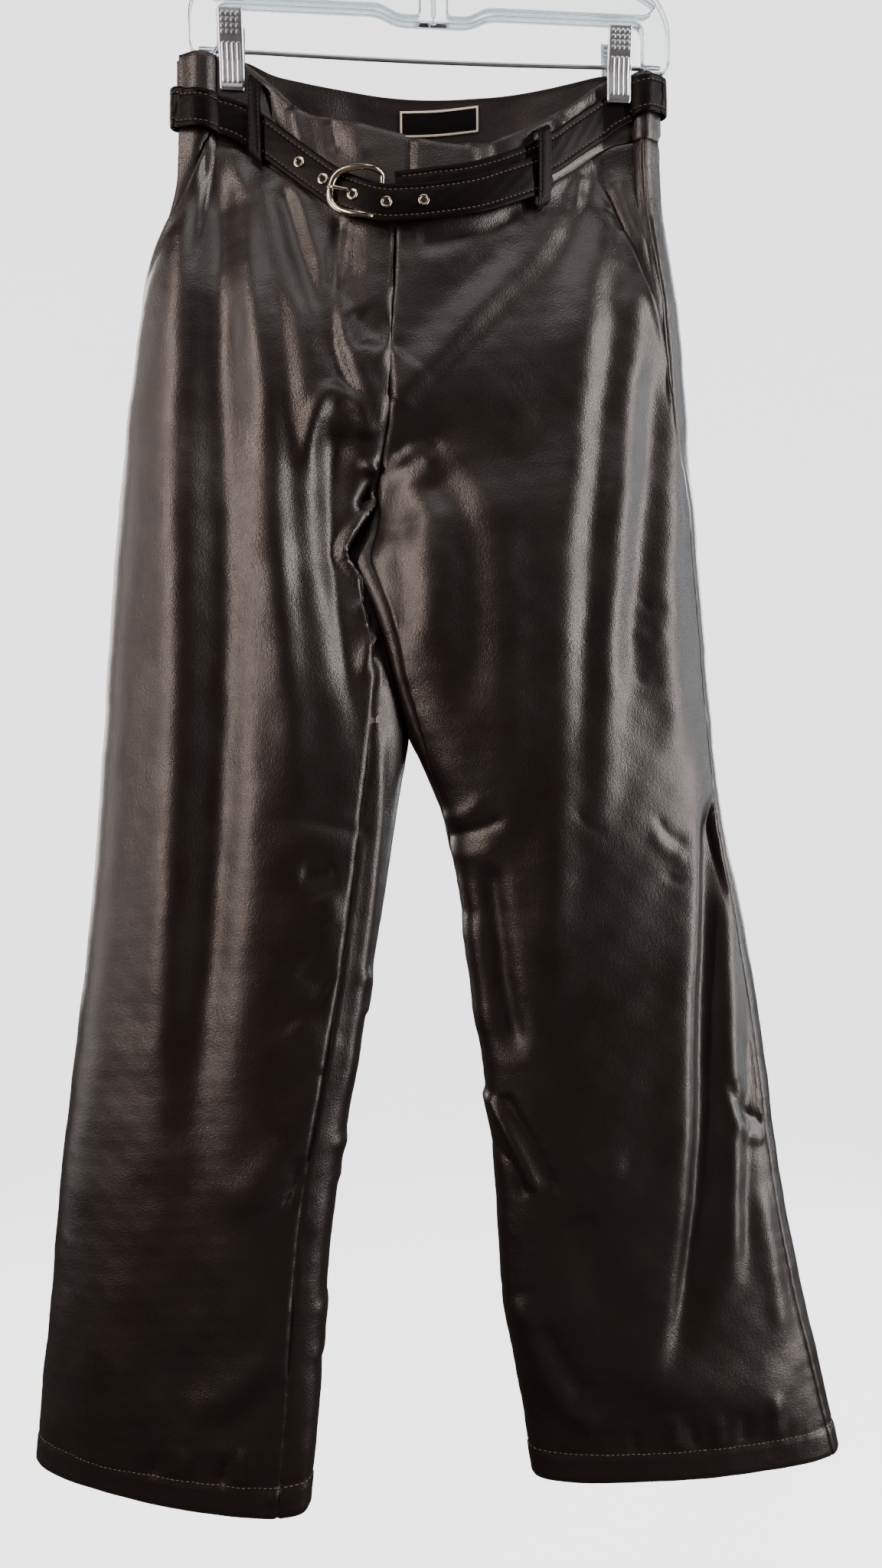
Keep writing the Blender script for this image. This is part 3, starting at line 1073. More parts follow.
def make_belt(line):
    tip, hinge = line.length_at(BELT_END_X[0]), line.length_at(BELT_END_X[1], False)

    def place_at(s, a, o):
        # the last stretch, under the buckle, has fine wrinkles where it has been bent
        worn = smooth_step(s, hinge - WORN_LENGTH[0], hinge - WORN_LENGTH[1])
        wrinkle = (np.sin((s * 0.8 + a * 0.9) / 0.00052 + 2 * np.sin(s / 0.0031))
                   * np.sin((s - a * 0.6) / 0.00117 + 1.0))
        soft = 0.00012 * np.sin(s / 0.0041 + 3 * np.sin(a / 0.006)) * np.sin(a / 0.0033 + s / 0.011)
        rounded = TIP_ROUND * np.clip((np.abs(a) - 0.004) / (BELT_WIDTH / 2 - 0.004), 0, 1) ** 3
        near_tip = np.clip((tip + rounded - s) / TIP_ROUND, 0, 1)
        front = o > -BELT_THICKNESS / 2
        return line.point(s + near_tip * rounded, a, o + front * (0.00010 * worn * wrinkle + soft))

    mesh = strap_mesh("belt", *belt_section(), np.linspace(tip, hinge, 950), place_at)
    thing = place("belt_leather", mesh, "belt_leather", ["belt_strap"])
    s = np.linspace(tip + 0.004, hinge - 0.002, 1400)
    for number, edge in enumerate((1, -1), 1):
        at = edge * (BELT_WIDTH / 2 - BINDING)
        points = line.point(s, at, -0.0001)
        stitch_row(f"belt_stitches_{number}", points, points - line.point(s, at, -0.0021),
                   "belt_thread", 0.0026, 0.0012, 0.0004)


def make_eyelets(line):
    middle, half = (EYELET_HOLE + EYELET_RADIUS) / 2, (EYELET_RADIUS - EYELET_HOLE) / 2
    steps = [(EYELET_HOLE * 0.98, -0.0004), (EYELET_HOLE * 0.98, 0.0006)]
    for k in range(9):
        turn = math.pi - math.pi * k / 8
        steps.append((middle + half * math.cos(turn),
                      EYELET_HEIGHT * (0.25 + 0.75 * math.sin(turn))))
    steps.append((EYELET_RADIUS, -0.0004))
    for number, x in enumerate(EYELET_X, 1):
        name = f"eyelet_{number}"
        bm = bmesh.new()
        corners = [bm.verts.new((r, 0.0, h)) for r, h in steps]
        edges = [bm.edges.new(pair) for pair in zip(corners, corners[1:] + corners[:1])]
        bmesh.ops.spin(bm, geom=corners + edges, cent=(0, 0, 0), axis=(0, 0, 1),
                       angle=2 * math.pi, steps=36, use_merge=True)
        bmesh.ops.recalc_face_normals(bm, faces=bm.faces)
        here, along, out = line.place(line.length_at(x))
        out = out if out.y < 0 else -out
        seat = Matrix.Translation(here + out * REST) @ turned(along, out.cross(along), out)
        bmesh.ops.transform(bm, matrix=seat, verts=bm.verts)
        place(f"{name}_ring", mesh_from(bm, name), "pale_gold_metal", [name])
        hole = bmesh.new()
        bmesh.ops.create_circle(hole, cap_ends=True, segments=24, radius=EYELET_HOLE * 1.02,
                                matrix=seat @ Matrix.Translation((0, 0, 0.00015)))
        place(f"{name}_hole", mesh_from(hole, f"{name}_hole"), "eyelet_dark")


def new_curve(name, radius, roundness, capped=True):
    curve = bpy.data.curves.new(name, "CURVE")
    curve.dimensions = "3D"
    curve.bevel_depth = radius
    curve.bevel_resolution = roundness
    curve.use_fill_caps = capped
    return curve


def wire(name, points, radius, look, replaced, closed=False, sizes=None):
    """A round wire on a smooth curve through the points."""
    curve = new_curve(name, radius, 6, not closed)
    curve.resolution_u = 6
    spline = curve.splines.new("NURBS")
    spline.points.add(len(points) - 1)
    for knot, point, size in zip(spline.points, points, sizes or [1.0] * len(points)):
        knot.co = (*point, 1.0)
        knot.radius = size
    spline.order_u = 3
    spline.use_endpoint_u = not closed
    spline.use_cyclic_u = closed
    place(name, curve, look, replaced)


def buckle_place(x, z, off):
    """A point of the buckle, from its own length and height and its stand-off, to its place."""
    cos, sin = math.cos(BUCKLE_SLOPE), math.sin(BUCKLE_SLOPE)
    angle = waist_angle_at(np.float64(BUCKLE_X + x * cos - z * sin))
    point = on_waist(angle, np.float64(1.0), np.float64(off))
    point[2] = BUCKLE_Z + x * sin + z * cos
    return point


def strap_off(x):
    """How far the strap under the buckle stands off the waistband, at a place of the buckle."""
    return float(column(TIP_ROWS, "off", BUCKLE_X + x * math.cos(BUCKLE_SLOPE), key="x"))


def make_buckle():
    half, reach = BUCKLE_HEIGHT / 2 - BUCKLE_WIRE, BUCKLE_LENGTH / 2 - BUCKLE_WIRE
    points, sizes = [], []
    for step in range(21):
        angle = math.radians(90 + 180 * step / 20)
        x = -reach + 1.5 * reach * (1 - abs(math.cos(angle)) ** 0.8)
        over = strap_off(x) + BUCKLE_WIRE + BUCKLE_CLEAR
        height = math.copysign(abs(math.sin(angle)) ** 0.72, math.sin(angle))
        points.append(buckle_place(x, half * height, over))
        sizes.append(0.90 + 0.46 * math.sin(math.pi * step / 20))
    halfway = (strap_off(reach / 2) + BUCKLE_WIRE + HINGE_OFF) / 2
    for x, z, off in ((0.85, -0.97, halfway), (1.0, -0.82, HINGE_OFF), (1.0, 0.82, HINGE_OFF),
                      (0.85, 0.97, halfway)):
        points.append(buckle_place(x * reach, z * half, off))
        sizes.append(0.86)
    wire("buckle_frame_wire", points, BUCKLE_WIRE, "pale_gold_metal", ["buckle_frame"],
         closed=True, sizes=sizes)
    on_bar = 2 * BUCKLE_WIRE + BUCKLE_CLEAR + PRONG_WIRE + REST
    on_eyelet = EYELET_HEIGHT + PRONG_WIRE + 2 * REST
    prong = [(-1.08, on_bar - 0.0012), (-1.0, on_bar), (-0.75, on_bar), (-0.45, on_eyelet + 0.0006),
             (-0.26, on_eyelet)]
    spots = [buckle_place(x * reach, 0.0, strap_off(x * reach) + off) for x, off in prong]
    wire("buckle_prong_wire", spots, PRONG_WIRE, "pale_gold_metal", ["buckle_prong"],
         sizes=[0.75, 0.95, 1.05, 1.0, 1.0])


def make_loop(name, x, face, over):
    """A belt loop: from the waistband's upper edge out over the belt, and back in below it."""
    knots = np.linspace(0, 1, len(LOOP_SHAPE))
    downs, outs = np.array(LOOP_SHAPE).T

    def point_at(u, v, off=0.0):
        down, out = np.interp(v, knots, downs), np.interp(v, knots, outs)
        bowed = 0.00035 * (1 - (2 * u - 1) ** 2) - 0.00030 * ridge(np.abs(2 * u - 1) - 0.62, 0.12)
        angle = waist_angle_at(x + (u - 0.5) * LOOP_WIDTH, face)
        near = on_waist(angle, down, REST + LOOP_FOOT_RISE * np.clip(down - 1, 0, 1))
        far = on_waist(angle, np.ones_like(angle), over + bowed + off)
        near[..., :2] += (far[..., :2] - near[..., :2]) * out[..., None]
        return near

    thing = lay_leather(name, 16, 64, point_at, LOOP_THICKNESS, look="belt_leather")
    ease = thing.modifiers.new("ease", "SMOOTH")
    ease.factor = 0.5
    ease.iterations = 4
    for number, share in enumerate((0.19, 0.81), 1):
        v = np.linspace(0.16, 0.86, 200)
        points = point_at(np.full(v.shape, share), v, LOOP_THICKNESS)
        stitch_row(f"{name}_stitches_{number}", points, away_from_middle(points), "dark_thread",
                   0.0024, 0.0011, 0.0003)


def make_label():

    def point_at(u, v):
        angle = waist_angle_at(LABEL_X + (u - 0.5) * LABEL_WIDTH, "back")
        down = LABEL_DOWN + v * LABEL_HEIGHT / BAND_HEIGHT - LABEL_TILT * (u - 0.5)
        point = band_face("waistband_back", angle, down)
        point[..., 1] -= REST + 0.0004 * np.sin(math.pi * v) * (1 + np.sin(u * 9))
        return point

    mesh = laid_grid("label", 60, 20, point_at, lambda points: spot(0.0, -1.0, 0.0), "label_uv")
    thing = place("label_cloth", mesh, "label_satin", ["label"])
    add_wall(thing, LABEL_THICKNESS, 0.0)


# --- hanger ---------------------------------------------------------------------------------------


def make_hanger():
    """The clear moulding with softened edges, the hook and the bar as smooth wires."""
    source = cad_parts["hanger_frame"]
    bm = bmesh.new()
    bm.from_mesh(source.data)
    bmesh.ops.remove_doubles(bm, verts=bm.verts, dist=2e-5)
    bmesh.ops.dissolve_limit(bm, angle_limit=math.radians(2), verts=bm.verts, edges=bm.edges)
    sharp_edges = [
        [vertex.co.copy() for vertex in edge.verts] for edge in bm.edges
        if len(edge.link_faces) == 2 and edge.calc_face_angle(0.0) > math.radians(SHARP_DEGREES)
        and abs(edge.verts[0].co.y - edge.verts[1].co.y) < 1e-4
    ]
    thing = place("hanger_frame_clear", mesh_from(bm, "hanger_frame_clear", smooth=False),
                  "clear_moulding", ["hanger_frame"])
    soften_edges(thing, 0.0009, 4, SHARP_DEGREES)
    curve = new_curve("hanger_frame_beads", EDGE_BEAD, 2)
    for ends in sharp_edges:
        spline = curve.splines.new("POLY")
        spline.points.add(1)
        for knot, end in zip(spline.points, ends):
            knot.co = (*end, 1.0)
    place("hanger_frame_beads", curve, "clear_edge")
    points = [(0, 0, STEM_FOOT_Z), (0, 0, -0.085), (0, 0, -0.062), (0, 0, -0.054)]
    radius, centre_z = HOOK_INSIDE + HOOK_WIRE, -HOOK_INSIDE
    for step in range(41):
        angle = math.radians(-78 + 268 * step / 40)
        points.append((radius * math.cos(angle), 0, centre_z + radius * math.sin(angle)))
    wire("hanger_hook_wire", points, HOOK_WIRE, "steel_wire", ["hanger_hook"])
    points = []
    for step in range(41):
        x = BAR_REACH * (2 * step / 40 - 1)
        sag = BAR_BOW * math.cos(math.pi / 2 * min(1.0, abs(x) / BAR_BOW_REACH))
        points.append((x, 0, BAR_Z - sag))
    wire("hanger_bar_wire", points, BAR_RADIUS, "steel_wire", ["hanger_bar"])


def clip_relief(x, z):
    """How far a clip's pressed pattern stands out: bumps for the fingers above, ribs below."""
    bumps, ribs = 0.0, 0.0
    for i in range(4):
        from_column = x - (i - 1.5) * CLIP_PITCH
        for j in range(4):
            away = np.hypot(from_column, z - (CLIP_TOP_Z - 0.0040 - j * CLIP_PITCH))
            bumps = bumps + CLIP_BUMP * ridge(away, 0.00115)
        ribs = ribs + CLIP_RIB * ridge(from_column, 0.00100)
    inside = smooth_step(CLIP_TOP_Z - 0.0205 - z, 0, 0.0012) * smooth_step(
        z - CLIP_FOOT_Z - 0.0042, 0, 0.0012)
    return bumps + ribs * inside


def make_clip_ears(name, centre_x, sign, grip, inset):
    """The two ears by which a clip's plate hangs on the bar."""
    ears = bmesh.new()
    for end in (-1, 1):
        x = centre_x + end * (CLIP_WIDTH / 2 - CLIP_SHEET / 2 - inset)
        deep, past = sign * (grip + CLIP_SHEET * 2), -sign * EAR_PAST_BAR
        outline = [(deep, BAR_Z + EAR_ROOT_HALF), (deep, BAR_Z - EAR_ROOT_HALF)]
        for k in range(7):
            turn = -math.pi / 2 + math.pi * k / 6
            outline.append((past + sign * EAR_END_HALF * (1 - math.cos(turn)),
                            BAR_Z + EAR_END_HALF * math.sin(turn)))
        flat = ears.faces.new([ears.verts.new((x - CLIP_SHEET / 2, y, z)) for y, z in outline])
        grown = bmesh.ops.extrude_face_region(ears, geom=[flat])
        moved = [item for item in grown["geom"] if isinstance(item, bmesh.types.BMVert)]
        bmesh.ops.translate(ears, vec=(CLIP_SHEET, 0, 0), verts=moved)
    bmesh.ops.recalc_face_normals(ears, faces=ears.faces)
    place(name, mesh_from(ears, name, smooth=False), "clip_chrome")


def make_clip(side):
    centre_x = CLIP_X[side]
    grip = CLIP_GRIP + (CLIP_OVER_BELT if side == "right" else 0.0)
    bend_z = CLIP_FOOT_Z + CLIP_JAW
    for face, sign in (("front", -1), ("back", 1)):
        name = f"clip_{side}_{face}"

        def point_at(u, v):
            z = CLIP_TOP_Z + (CLIP_FOOT_Z - CLIP_TOP_Z) * v
            spread = np.clip((z - bend_z) / (CLIP_TOP_Z - bend_z), 0, 1)
            y = grip + (CLIP_OPENING - grip) * smooth_step(spread, -0.25, 1.1) / smooth_step(
                1.0, -0.25, 1.1)
            x = (u - 0.5) * CLIP_WIDTH
            lip = 0.0009 * smooth_step(CLIP_FOOT_Z + 0.0016 - z, 0, 0.0016)
            roll = 0.0008 * np.clip((np.abs(x) - CLIP_WIDTH / 2 + 0.0012) / 0.0012, 0, 1) ** 2
            corner = np.clip((np.abs(z - (CLIP_TOP_Z + CLIP_FOOT_Z) / 2) - 0.0235) / 0.0025, 0, 1)
            x = x * (1 - 0.07 * corner**2)
            return spot(centre_x + x, sign * (y + clip_relief(x, z) - lip - roll), z)

        mesh = laid_grid(name, 44, 110, point_at, lambda points: spot(0.0, sign, 0.0))
        add_wall(place(f"{name}_plate", mesh, "clip_chrome", [name]), CLIP_SHEET, 0.0003)
        make_clip_ears(f"{name}_ears", centre_x, sign, grip,
                       0.0 if face == "front" else CLIP_SHEET + REST)
    name = f"clip_{side}_spring"
    half = CLIP_WIDTH / 2 - 2 * CLIP_SHEET - 3 * REST
    reach = BAR_RADIUS + 0.0003 + SPRING_WIRE / 2
    points = []
    for step in range(SPRING_TURNS * 12 + 1):
        angle = 2 * math.pi * step / 12
        points.append((centre_x + half * (2 * step / (SPRING_TURNS * 12) - 1),
                       reach * math.cos(angle), BAR_Z + reach * math.sin(angle)))
    wire(f"{name}_coil", points, SPRING_WIRE / 2, "steel_wire", [name])


# --- materials ------------------------------------------------------------------------------------


class Tree:
    """A short way to lay nodes in a node tree."""

    def __init__(self, tree):
        self.tree = tree

    def feed(self, node, inputs):
        """Links each input that is given a socket, and sets each that is given a value."""
        for key, value in inputs.items():
            if isinstance(value, bpy.types.NodeSocket):
                self.tree.links.new(value, node.inputs[key])
            else:
                node.inputs[key].default_value = value

    def add(self, kind, inputs, **settings):
        node = self.tree.nodes.new(kind)
        for key, value in settings.items():
            setattr(node, key, value)
        self.feed(node, inputs)
        return node

    def where(self):
        return self.add("ShaderNodeTexCoord", {}).outputs["Object"]

    def math(self, operation, first, second=0.0, clamp=False):
        return self.add("ShaderNodeMath", {0: first, 1: second}, operation=operation,
                        use_clamp=clamp).outputs[0]

    def noise(self, where, scale, detail=2.0, roughness=0.5):
        return self.add("ShaderNodeTexNoise", {"Vector": where, "Scale": scale, "Detail": detail,
                                               "Roughness": roughness})

    def bump(self, height, distance, strength):
        return self.add("ShaderNodeBump", {"Height": height, "Distance": distance,
                                           "Strength": strength}).outputs["Normal"]

    def mix(self, share, first, second):
        """A colour between two, by the colour inputs of a mix node."""
        return self.add("ShaderNodeMix", {0: share, 6: first, 7: second},
                        data_type="RGBA").outputs[2]


def new_group(name, inputs, outputs):
    group = bpy.data.node_groups.new(name, "ShaderNodeTree")
    for label, value in inputs.items():
        kind = "NodeSocketFloat" if isinstance(value, float) else "NodeSocketColor"
        socket = group.interface.new_socket(label, in_out="INPUT", socket_type=kind)
        socket.default_value = value
    for label, kind in outputs.items():
        group.interface.new_socket(label, in_out="OUTPUT", socket_type=f"NodeSocket{kind}")
    tree = Tree(group)
    return group, tree, tree.add("NodeGroupInput", {}).outputs, tree.add("NodeGroupOutput", {})


def pebbled_leather_group():
    """Pebbled grain: a colour that varies a little, a roughness and a bumped normal."""
    group, tree, given, result = new_group(
        "pebbled_leather",
        {"Colour": (0.02, 0.013, 0.011, 1.0), "Worn Colour": (0.05, 0.034, 0.03, 1.0),
         "Grain Scale": 800.0, "Roughness": 0.4, "Grain Strength": 0.3},
        {"Colour": "Color", "Roughness": "Float", "Normal": "Vector"},
    )
    where = tree.where()
    warp = tree.noise(where, 90.0, 1.0).outputs["Color"]
    bent = tree.add("ShaderNodeVectorMath", {0: warp, "Scale": 0.0022}, operation="SCALE")
    moved = tree.add("ShaderNodeVectorMath", {0: where, 1: bent.outputs[0]}).outputs[0]
    pebbles = tree.add("ShaderNodeTexVoronoi", {
        "Vector": moved, "Scale": given["Grain Scale"], "Randomness": 0.9}).outputs["Distance"]
    larger = tree.add("ShaderNodeTexVoronoi", {"Vector": moved, "Scale": 310.0})
    fine = tree.noise(where, 2100.0, 1.0).outputs["Fac"]
    low = tree.math("MULTIPLY", pebbles, -0.75)
    mid = tree.math("MULTIPLY", larger.outputs["Distance"], -0.35)
    height = tree.math("ADD", tree.math("ADD", low, mid), tree.math("MULTIPLY", fine, 0.22))
    cloud = tree.noise(where, 7.0, 2.0, 0.55).outputs["Fac"]
    speck = tree.math("MULTIPLY", pebbles, 0.35)
    share = tree.math("ADD", tree.math("MULTIPLY", cloud, 0.85),
                      tree.math("SUBTRACT", 0.05, speck), clamp=True)
    patch = tree.math("SUBTRACT", tree.noise(where, 26.0).outputs["Fac"], 0.5)
    rough = tree.math("ADD", given["Roughness"], tree.math("MULTIPLY", patch, 0.16))
    tree.feed(result, {
        "Colour": tree.mix(share, given["Colour"], given["Worn Colour"]),
        "Roughness": tree.math("ADD", rough, tree.math("MULTIPLY", pebbles, 0.08)),
        "Normal": tree.bump(height, 0.00042, given["Grain Strength"]),
    })
    return group


def handled_metal_group():
    """Fine scratches and finger marks: a mask, a roughness and a bumped normal."""
    group, tree, given, result = new_group(
        "handled_metal", {"Roughness": 0.2, "Scratches": 0.05},
        {"Mask": "Float", "Roughness": "Float", "Normal": "Vector"},
    )
    where = tree.where()
    stretched = tree.add("ShaderNodeMapping", {"Vector": where, "Scale": (900.0, 900.0, 70.0)})
    lines = tree.noise(stretched.outputs[0], 1.0, 3.0).outputs["Fac"]
    marks = tree.noise(where, 120.0, 3.0).outputs["Fac"]
    tree.feed(result, {
        "Mask": marks,
        "Roughness": tree.math("ADD", given["Roughness"], tree.math("MULTIPLY", marks, 0.12)),
        "Normal": tree.bump(lines, 0.0001, given["Scratches"]),
    })
    return group


def new_material(name):
    material = bpy.data.materials.new(name)
    material.use_nodes = True
    return Tree(material.node_tree), material.node_tree.nodes["Principled BSDF"]


def shade(colour, factor):
    return (*[c * factor for c in colour], 1.0)


def make_leathers(look):
    group = pebbled_leather_group()
    for name, colour, rough, scale, strength, gloss in (
        ("trouser_leather", look.leather_colour, look.leather_roughness, 820.0, 0.40, 0.64),
        ("belt_leather", look.belt_colour, look.leather_roughness + 0.06, 900.0, 0.30, 0.11),
    ):
        tree, shader = new_material(name)
        grain = tree.add("ShaderNodeGroup", {
            "Colour": shade(colour, 0.72), "Worn Colour": shade(colour, 1.5),
            "Grain Scale": scale, "Roughness": rough, "Grain Strength": strength,
        }, node_tree=group)
        tree.feed(shader, {
            "Base Color": grain.outputs["Colour"], "Roughness": grain.outputs["Roughness"],
            "Normal": grain.outputs["Normal"], "Specular IOR Level": gloss,
        })


def make_threads(look):
    for name, colour in (("hem_thread", look.thread_colour), ("dark_thread", (0.018, 0.012, 0.010)),
                         ("belt_thread", (0.10, 0.075, 0.062))):
        tree, shader = new_material(name)
        twist = tree.add("ShaderNodeTexWave", {
            "Vector": tree.where(), "Scale": 900.0, "Distortion": 2.0,
        }, bands_direction="DIAGONAL").outputs["Fac"]
        tree.feed(shader, {
            "Base Color": tree.mix(twist, shade(colour, 0.7), shade(colour, 1.15)),
            "Normal": tree.bump(twist, 0.0001, 0.4), "Roughness": 0.6,
        })


def make_metals():
    group = handled_metal_group()
    for name, dark, bright, rough in (
        ("pale_gold_metal", (0.46, 0.40, 0.30, 1), (0.60, 0.54, 0.43, 1), 0.12),
        ("clip_chrome", (0.52, 0.56, 0.62, 1), (0.66, 0.71, 0.77, 1), 0.26),
        ("steel_wire", (0.62, 0.63, 0.66, 1), (0.78, 0.79, 0.82, 1), 0.27),
    ):
        tree, shader = new_material(name)
        wear = tree.add("ShaderNodeGroup", {"Roughness": rough}, node_tree=group)
        tree.feed(shader, {
            "Base Color": tree.mix(wear.outputs["Mask"], dark, bright), "Metallic": 1.0,
            "Roughness": wear.outputs["Roughness"], "Normal": wear.outputs["Normal"],
        })


def make_plastic():
    """Clear moulded plastic, which looks denser where it is seen edge on and in its edge beads."""
    for name, face_on, edge_on in (
        ("clear_moulding", (0.96, 0.975, 0.98, 1), (0.45, 0.52, 0.55, 1)),
        ("clear_edge", (0.50, 0.57, 0.60, 1), (0.30, 0.36, 0.39, 1)),
    ):
        tree, shader = new_material(name)
        flow = tree.noise(tree.where(), 60.0).outputs["Fac"]
        edge = tree.add("ShaderNodeLayerWeight", {"Blend": 0.35})
        tree.feed(shader, {
            "Base Color": tree.mix(edge.outputs["Facing"], face_on, edge_on),
            "Roughness": tree.math("ADD", 0.03, tree.math("MULTIPLY", flow, 0.06)),
            "Normal": tree.bump(flow, 0.0006, 0.25),
            "Transmission Weight": 1.0, "IOR": 1.49,
        })


def make_label_satin():
    """Black woven ground inside a cream woven border, from the piece's own UV map."""
    tree, shader = new_material("label_satin")
    uv = tree.add("ShaderNodeUVMap", {}, uv_map="label_uv").outputs[0]
    parts = tree.add("ShaderNodeSeparateXYZ", {0: uv})
    from_edges = []
    for axis, size in (("X", LABEL_WIDTH), ("Y", LABEL_HEIGHT)):
        from_middle = tree.math("ABSOLUTE", tree.math("SUBTRACT", parts.outputs[axis], 0.5))
        from_edges.append(tree.math("MULTIPLY", tree.math("SUBTRACT", 0.5, from_middle), size))
    border = tree.math("LESS_THAN", tree.math("MINIMUM", *from_edges), LABEL_BORDER)
    weave = tree.add("ShaderNodeTexWave", {
        "Vector": tree.where(), "Scale": 700.0, "Distortion": 0.6,
    }, bands_direction="Z").outputs["Fac"]
    ground = tree.mix(weave, (0.0012, 0.0012, 0.0013, 1), (0.004, 0.004, 0.0045, 1))
    cream = tree.mix(weave, (0.62, 0.58, 0.48, 1), (0.80, 0.77, 0.66, 1))
    tree.feed(shader, {
        "Base Color": tree.mix(border, ground, cream), "Normal": tree.bump(weave, 0.0002, 0.4),
        "Roughness": 0.75, "Specular IOR Level": 0.08,
    })


def make_eyelet_dark():
    tree, shader = new_material("eyelet_dark")
    dust = tree.noise(tree.where(), 900.0).outputs["Fac"]
    tree.feed(shader, {
        "Base Color": tree.mix(dust, (0.003, 0.002, 0.002, 1), (0.008, 0.006, 0.005, 1)),
        "Roughness": 0.9,
    })


# --- stage ----------------------------------------------------------------------------------------

FLOOR_Z = -1.95
FLOOR_RADIUS, CURVE_RADIUS = 2.4, 1.2  # the flat floor, and the curve that lifts its edge
BOWL_RADIUS = FLOOR_RADIUS + CURVE_RADIUS
WALL_TOP, DOME_RISE = 4.0, 1.6  # above the floor
BOWL_GLOW = 2.3
LENS = 26.0
CAMERA_AT = (-0.08604383, -0.88312263, -0.60609506)
CAMERA_YAW, CAMERA_PITCH, CAMERA_ROLL = 0.09687619, 0.08726646, -0.01059015
Light = namedtuple("Light", "name at aim size power colour")
LIGHTS = [
    Light("window_left", (-1.50, -1.15, -0.15), (0, 0, -0.60), (0.11, 2.2), 36, (1.0, 0.80, 0.72)),
    Light("window_right", (1.70, -0.95, -0.40), (0, 0, -0.60), (0.16, 2.8), 62, (1.0, 0.90, 0.85)),
    Light("side_left", (-1.90, 0.05, -0.40), (0, 0, -0.65), (0.2, 2.2), 16, (1.0, 0.90, 0.86)),
    Light("side_right", (1.90, 0.10, -0.40), (0, 0, -0.65), (0.2, 2.2), 18, (0.90, 0.97, 1.0)),
    Light("room", (-0.30, -2.30, -0.30), (0, 0, -0.50), (1.4, 1.2), 0.5, (1.0, 0.90, 0.85)),
    Light("floor", (0.0, -1.60, -1.90), (0, -1.55, 0), (2.4, 1.2), 1.6, (1.0, 0.88, 0.82)),
    Light("front", (-0.35, -2.10, 0.85), (0, 0, -0.60), (0.4, 0.4), 1.4, (1.0, 0.90, 0.86)),
    Light("ceiling", (0.05, -1.10, 1.35), (0, 0, -0.50), (1.4, 0.5), 10, (1.0, 0.95, 0.91)),
    Light("back_left", (-1.5, 1.4, -0.1), (0, 0, -0.60), (0.5, 2.2), 42, (1.0, 0.92, 0.87)),
    Light("back_right", (1.6, 1.5, -0.1), (0, 0, -0.60), (0.5, 2.2), 42, (0.96, 0.98, 1.0)),
]


def make_bowl():
    """A pale round floor that curves up into a pale dome far round the trousers."""
    tree, shader = new_material("pale_studio")
    cloud = tree.noise(tree.where(), 1.1).outputs["Fac"]
    tree.feed(shader, {
        "Base Color": tree.mix(cloud, (0.80, 0.80, 0.795, 1), (0.84, 0.84, 0.835, 1)),
        "Roughness": 0.9, "Emission Color": (0.98, 0.99, 1.0, 1.0),
        "Emission Strength": BOWL_GLOW,
    })
    # the studio is bright where it is looked at, and dim in what lights and gloss take from it
    path = tree.add("ShaderNodeLightPath", {})
    seen = tree.math("MAXIMUM", path.outputs["Is Camera Ray"], path.outputs["Is Transmission Ray"])
    dim = tree.add("ShaderNodeBsdfDiffuse", {"Color": (0.045, 0.042, 0.040, 1.0)})
    mixed = tree.add("ShaderNodeMixShader", {0: seen, 1: dim.outputs[0], 2: shader.outputs[0]})
    out = next(n for n in tree.tree.nodes if n.type == "OUTPUT_MATERIAL")
    tree.feed(out, {"Surface": mixed.outputs[0]})
    quarter = [math.pi / 2 * step / 10 for step in range(1, 11)]
    profile = [(0.001, 0.0), (FLOOR_RADIUS / 2, 0.0), (FLOOR_RADIUS, 0.0)]
    profile += [(FLOOR_RADIUS + CURVE_RADIUS * math.sin(turn), CURVE_RADIUS * (1 - math.cos(turn)))
                for turn in quarter]
    profile += [(BOWL_RADIUS, 2.4), (BOWL_RADIUS, WALL_TOP)]
    profile += [(max(0.001, BOWL_RADIUS * math.cos(turn)), WALL_TOP + DOME_RISE * math.sin(turn))
                for turn in quarter]
    bm = bmesh.new()
    corners = [bm.verts.new((r, 0.0, FLOOR_Z + up)) for r, up in profile]
    edges = [bm.edges.new(pair) for pair in zip(corners, corners[1:])]
    bmesh.ops.spin(bm, geom=corners + edges, cent=(0, 0, 0), axis=(0, 0, 1), angle=2 * math.pi,
                   steps=72, use_merge=True)
    bmesh.ops.recalc_face_normals(bm, faces=bm.faces)
    bmesh.ops.reverse_faces(bm, faces=bm.faces)
    mesh = mesh_from(bm, "studio_floor")
    mesh.materials.append(bpy.data.materials["pale_studio"])
    add_object("studio_floor", mesh)


def make_lights(strength):
    for light in LIGHTS:
        data = bpy.data.lights.new(light.name, "AREA")
        data.shape = "RECTANGLE"
        data.size, data.size_y = light.size
        data.energy = light.power * strength
        data.color = light.colour
        lamp = add_object(light.name, data)
        lamp.location = light.at
        way = Vector(light.aim) - Vector(light.at)
        lamp.rotation_euler = way.to_track_quat("-Z", "Y").to_euler()
        lamp.visible_camera = False
    world = bpy.data.worlds.new("studio_air")
    world.use_nodes = True
    back = world.node_tree.nodes["Background"]
    back.inputs["Color"].default_value = (0.95, 0.97, 1.0, 1.0)
    back.inputs["Strength"].default_value = 0.08
    bpy.context.scene.world = world


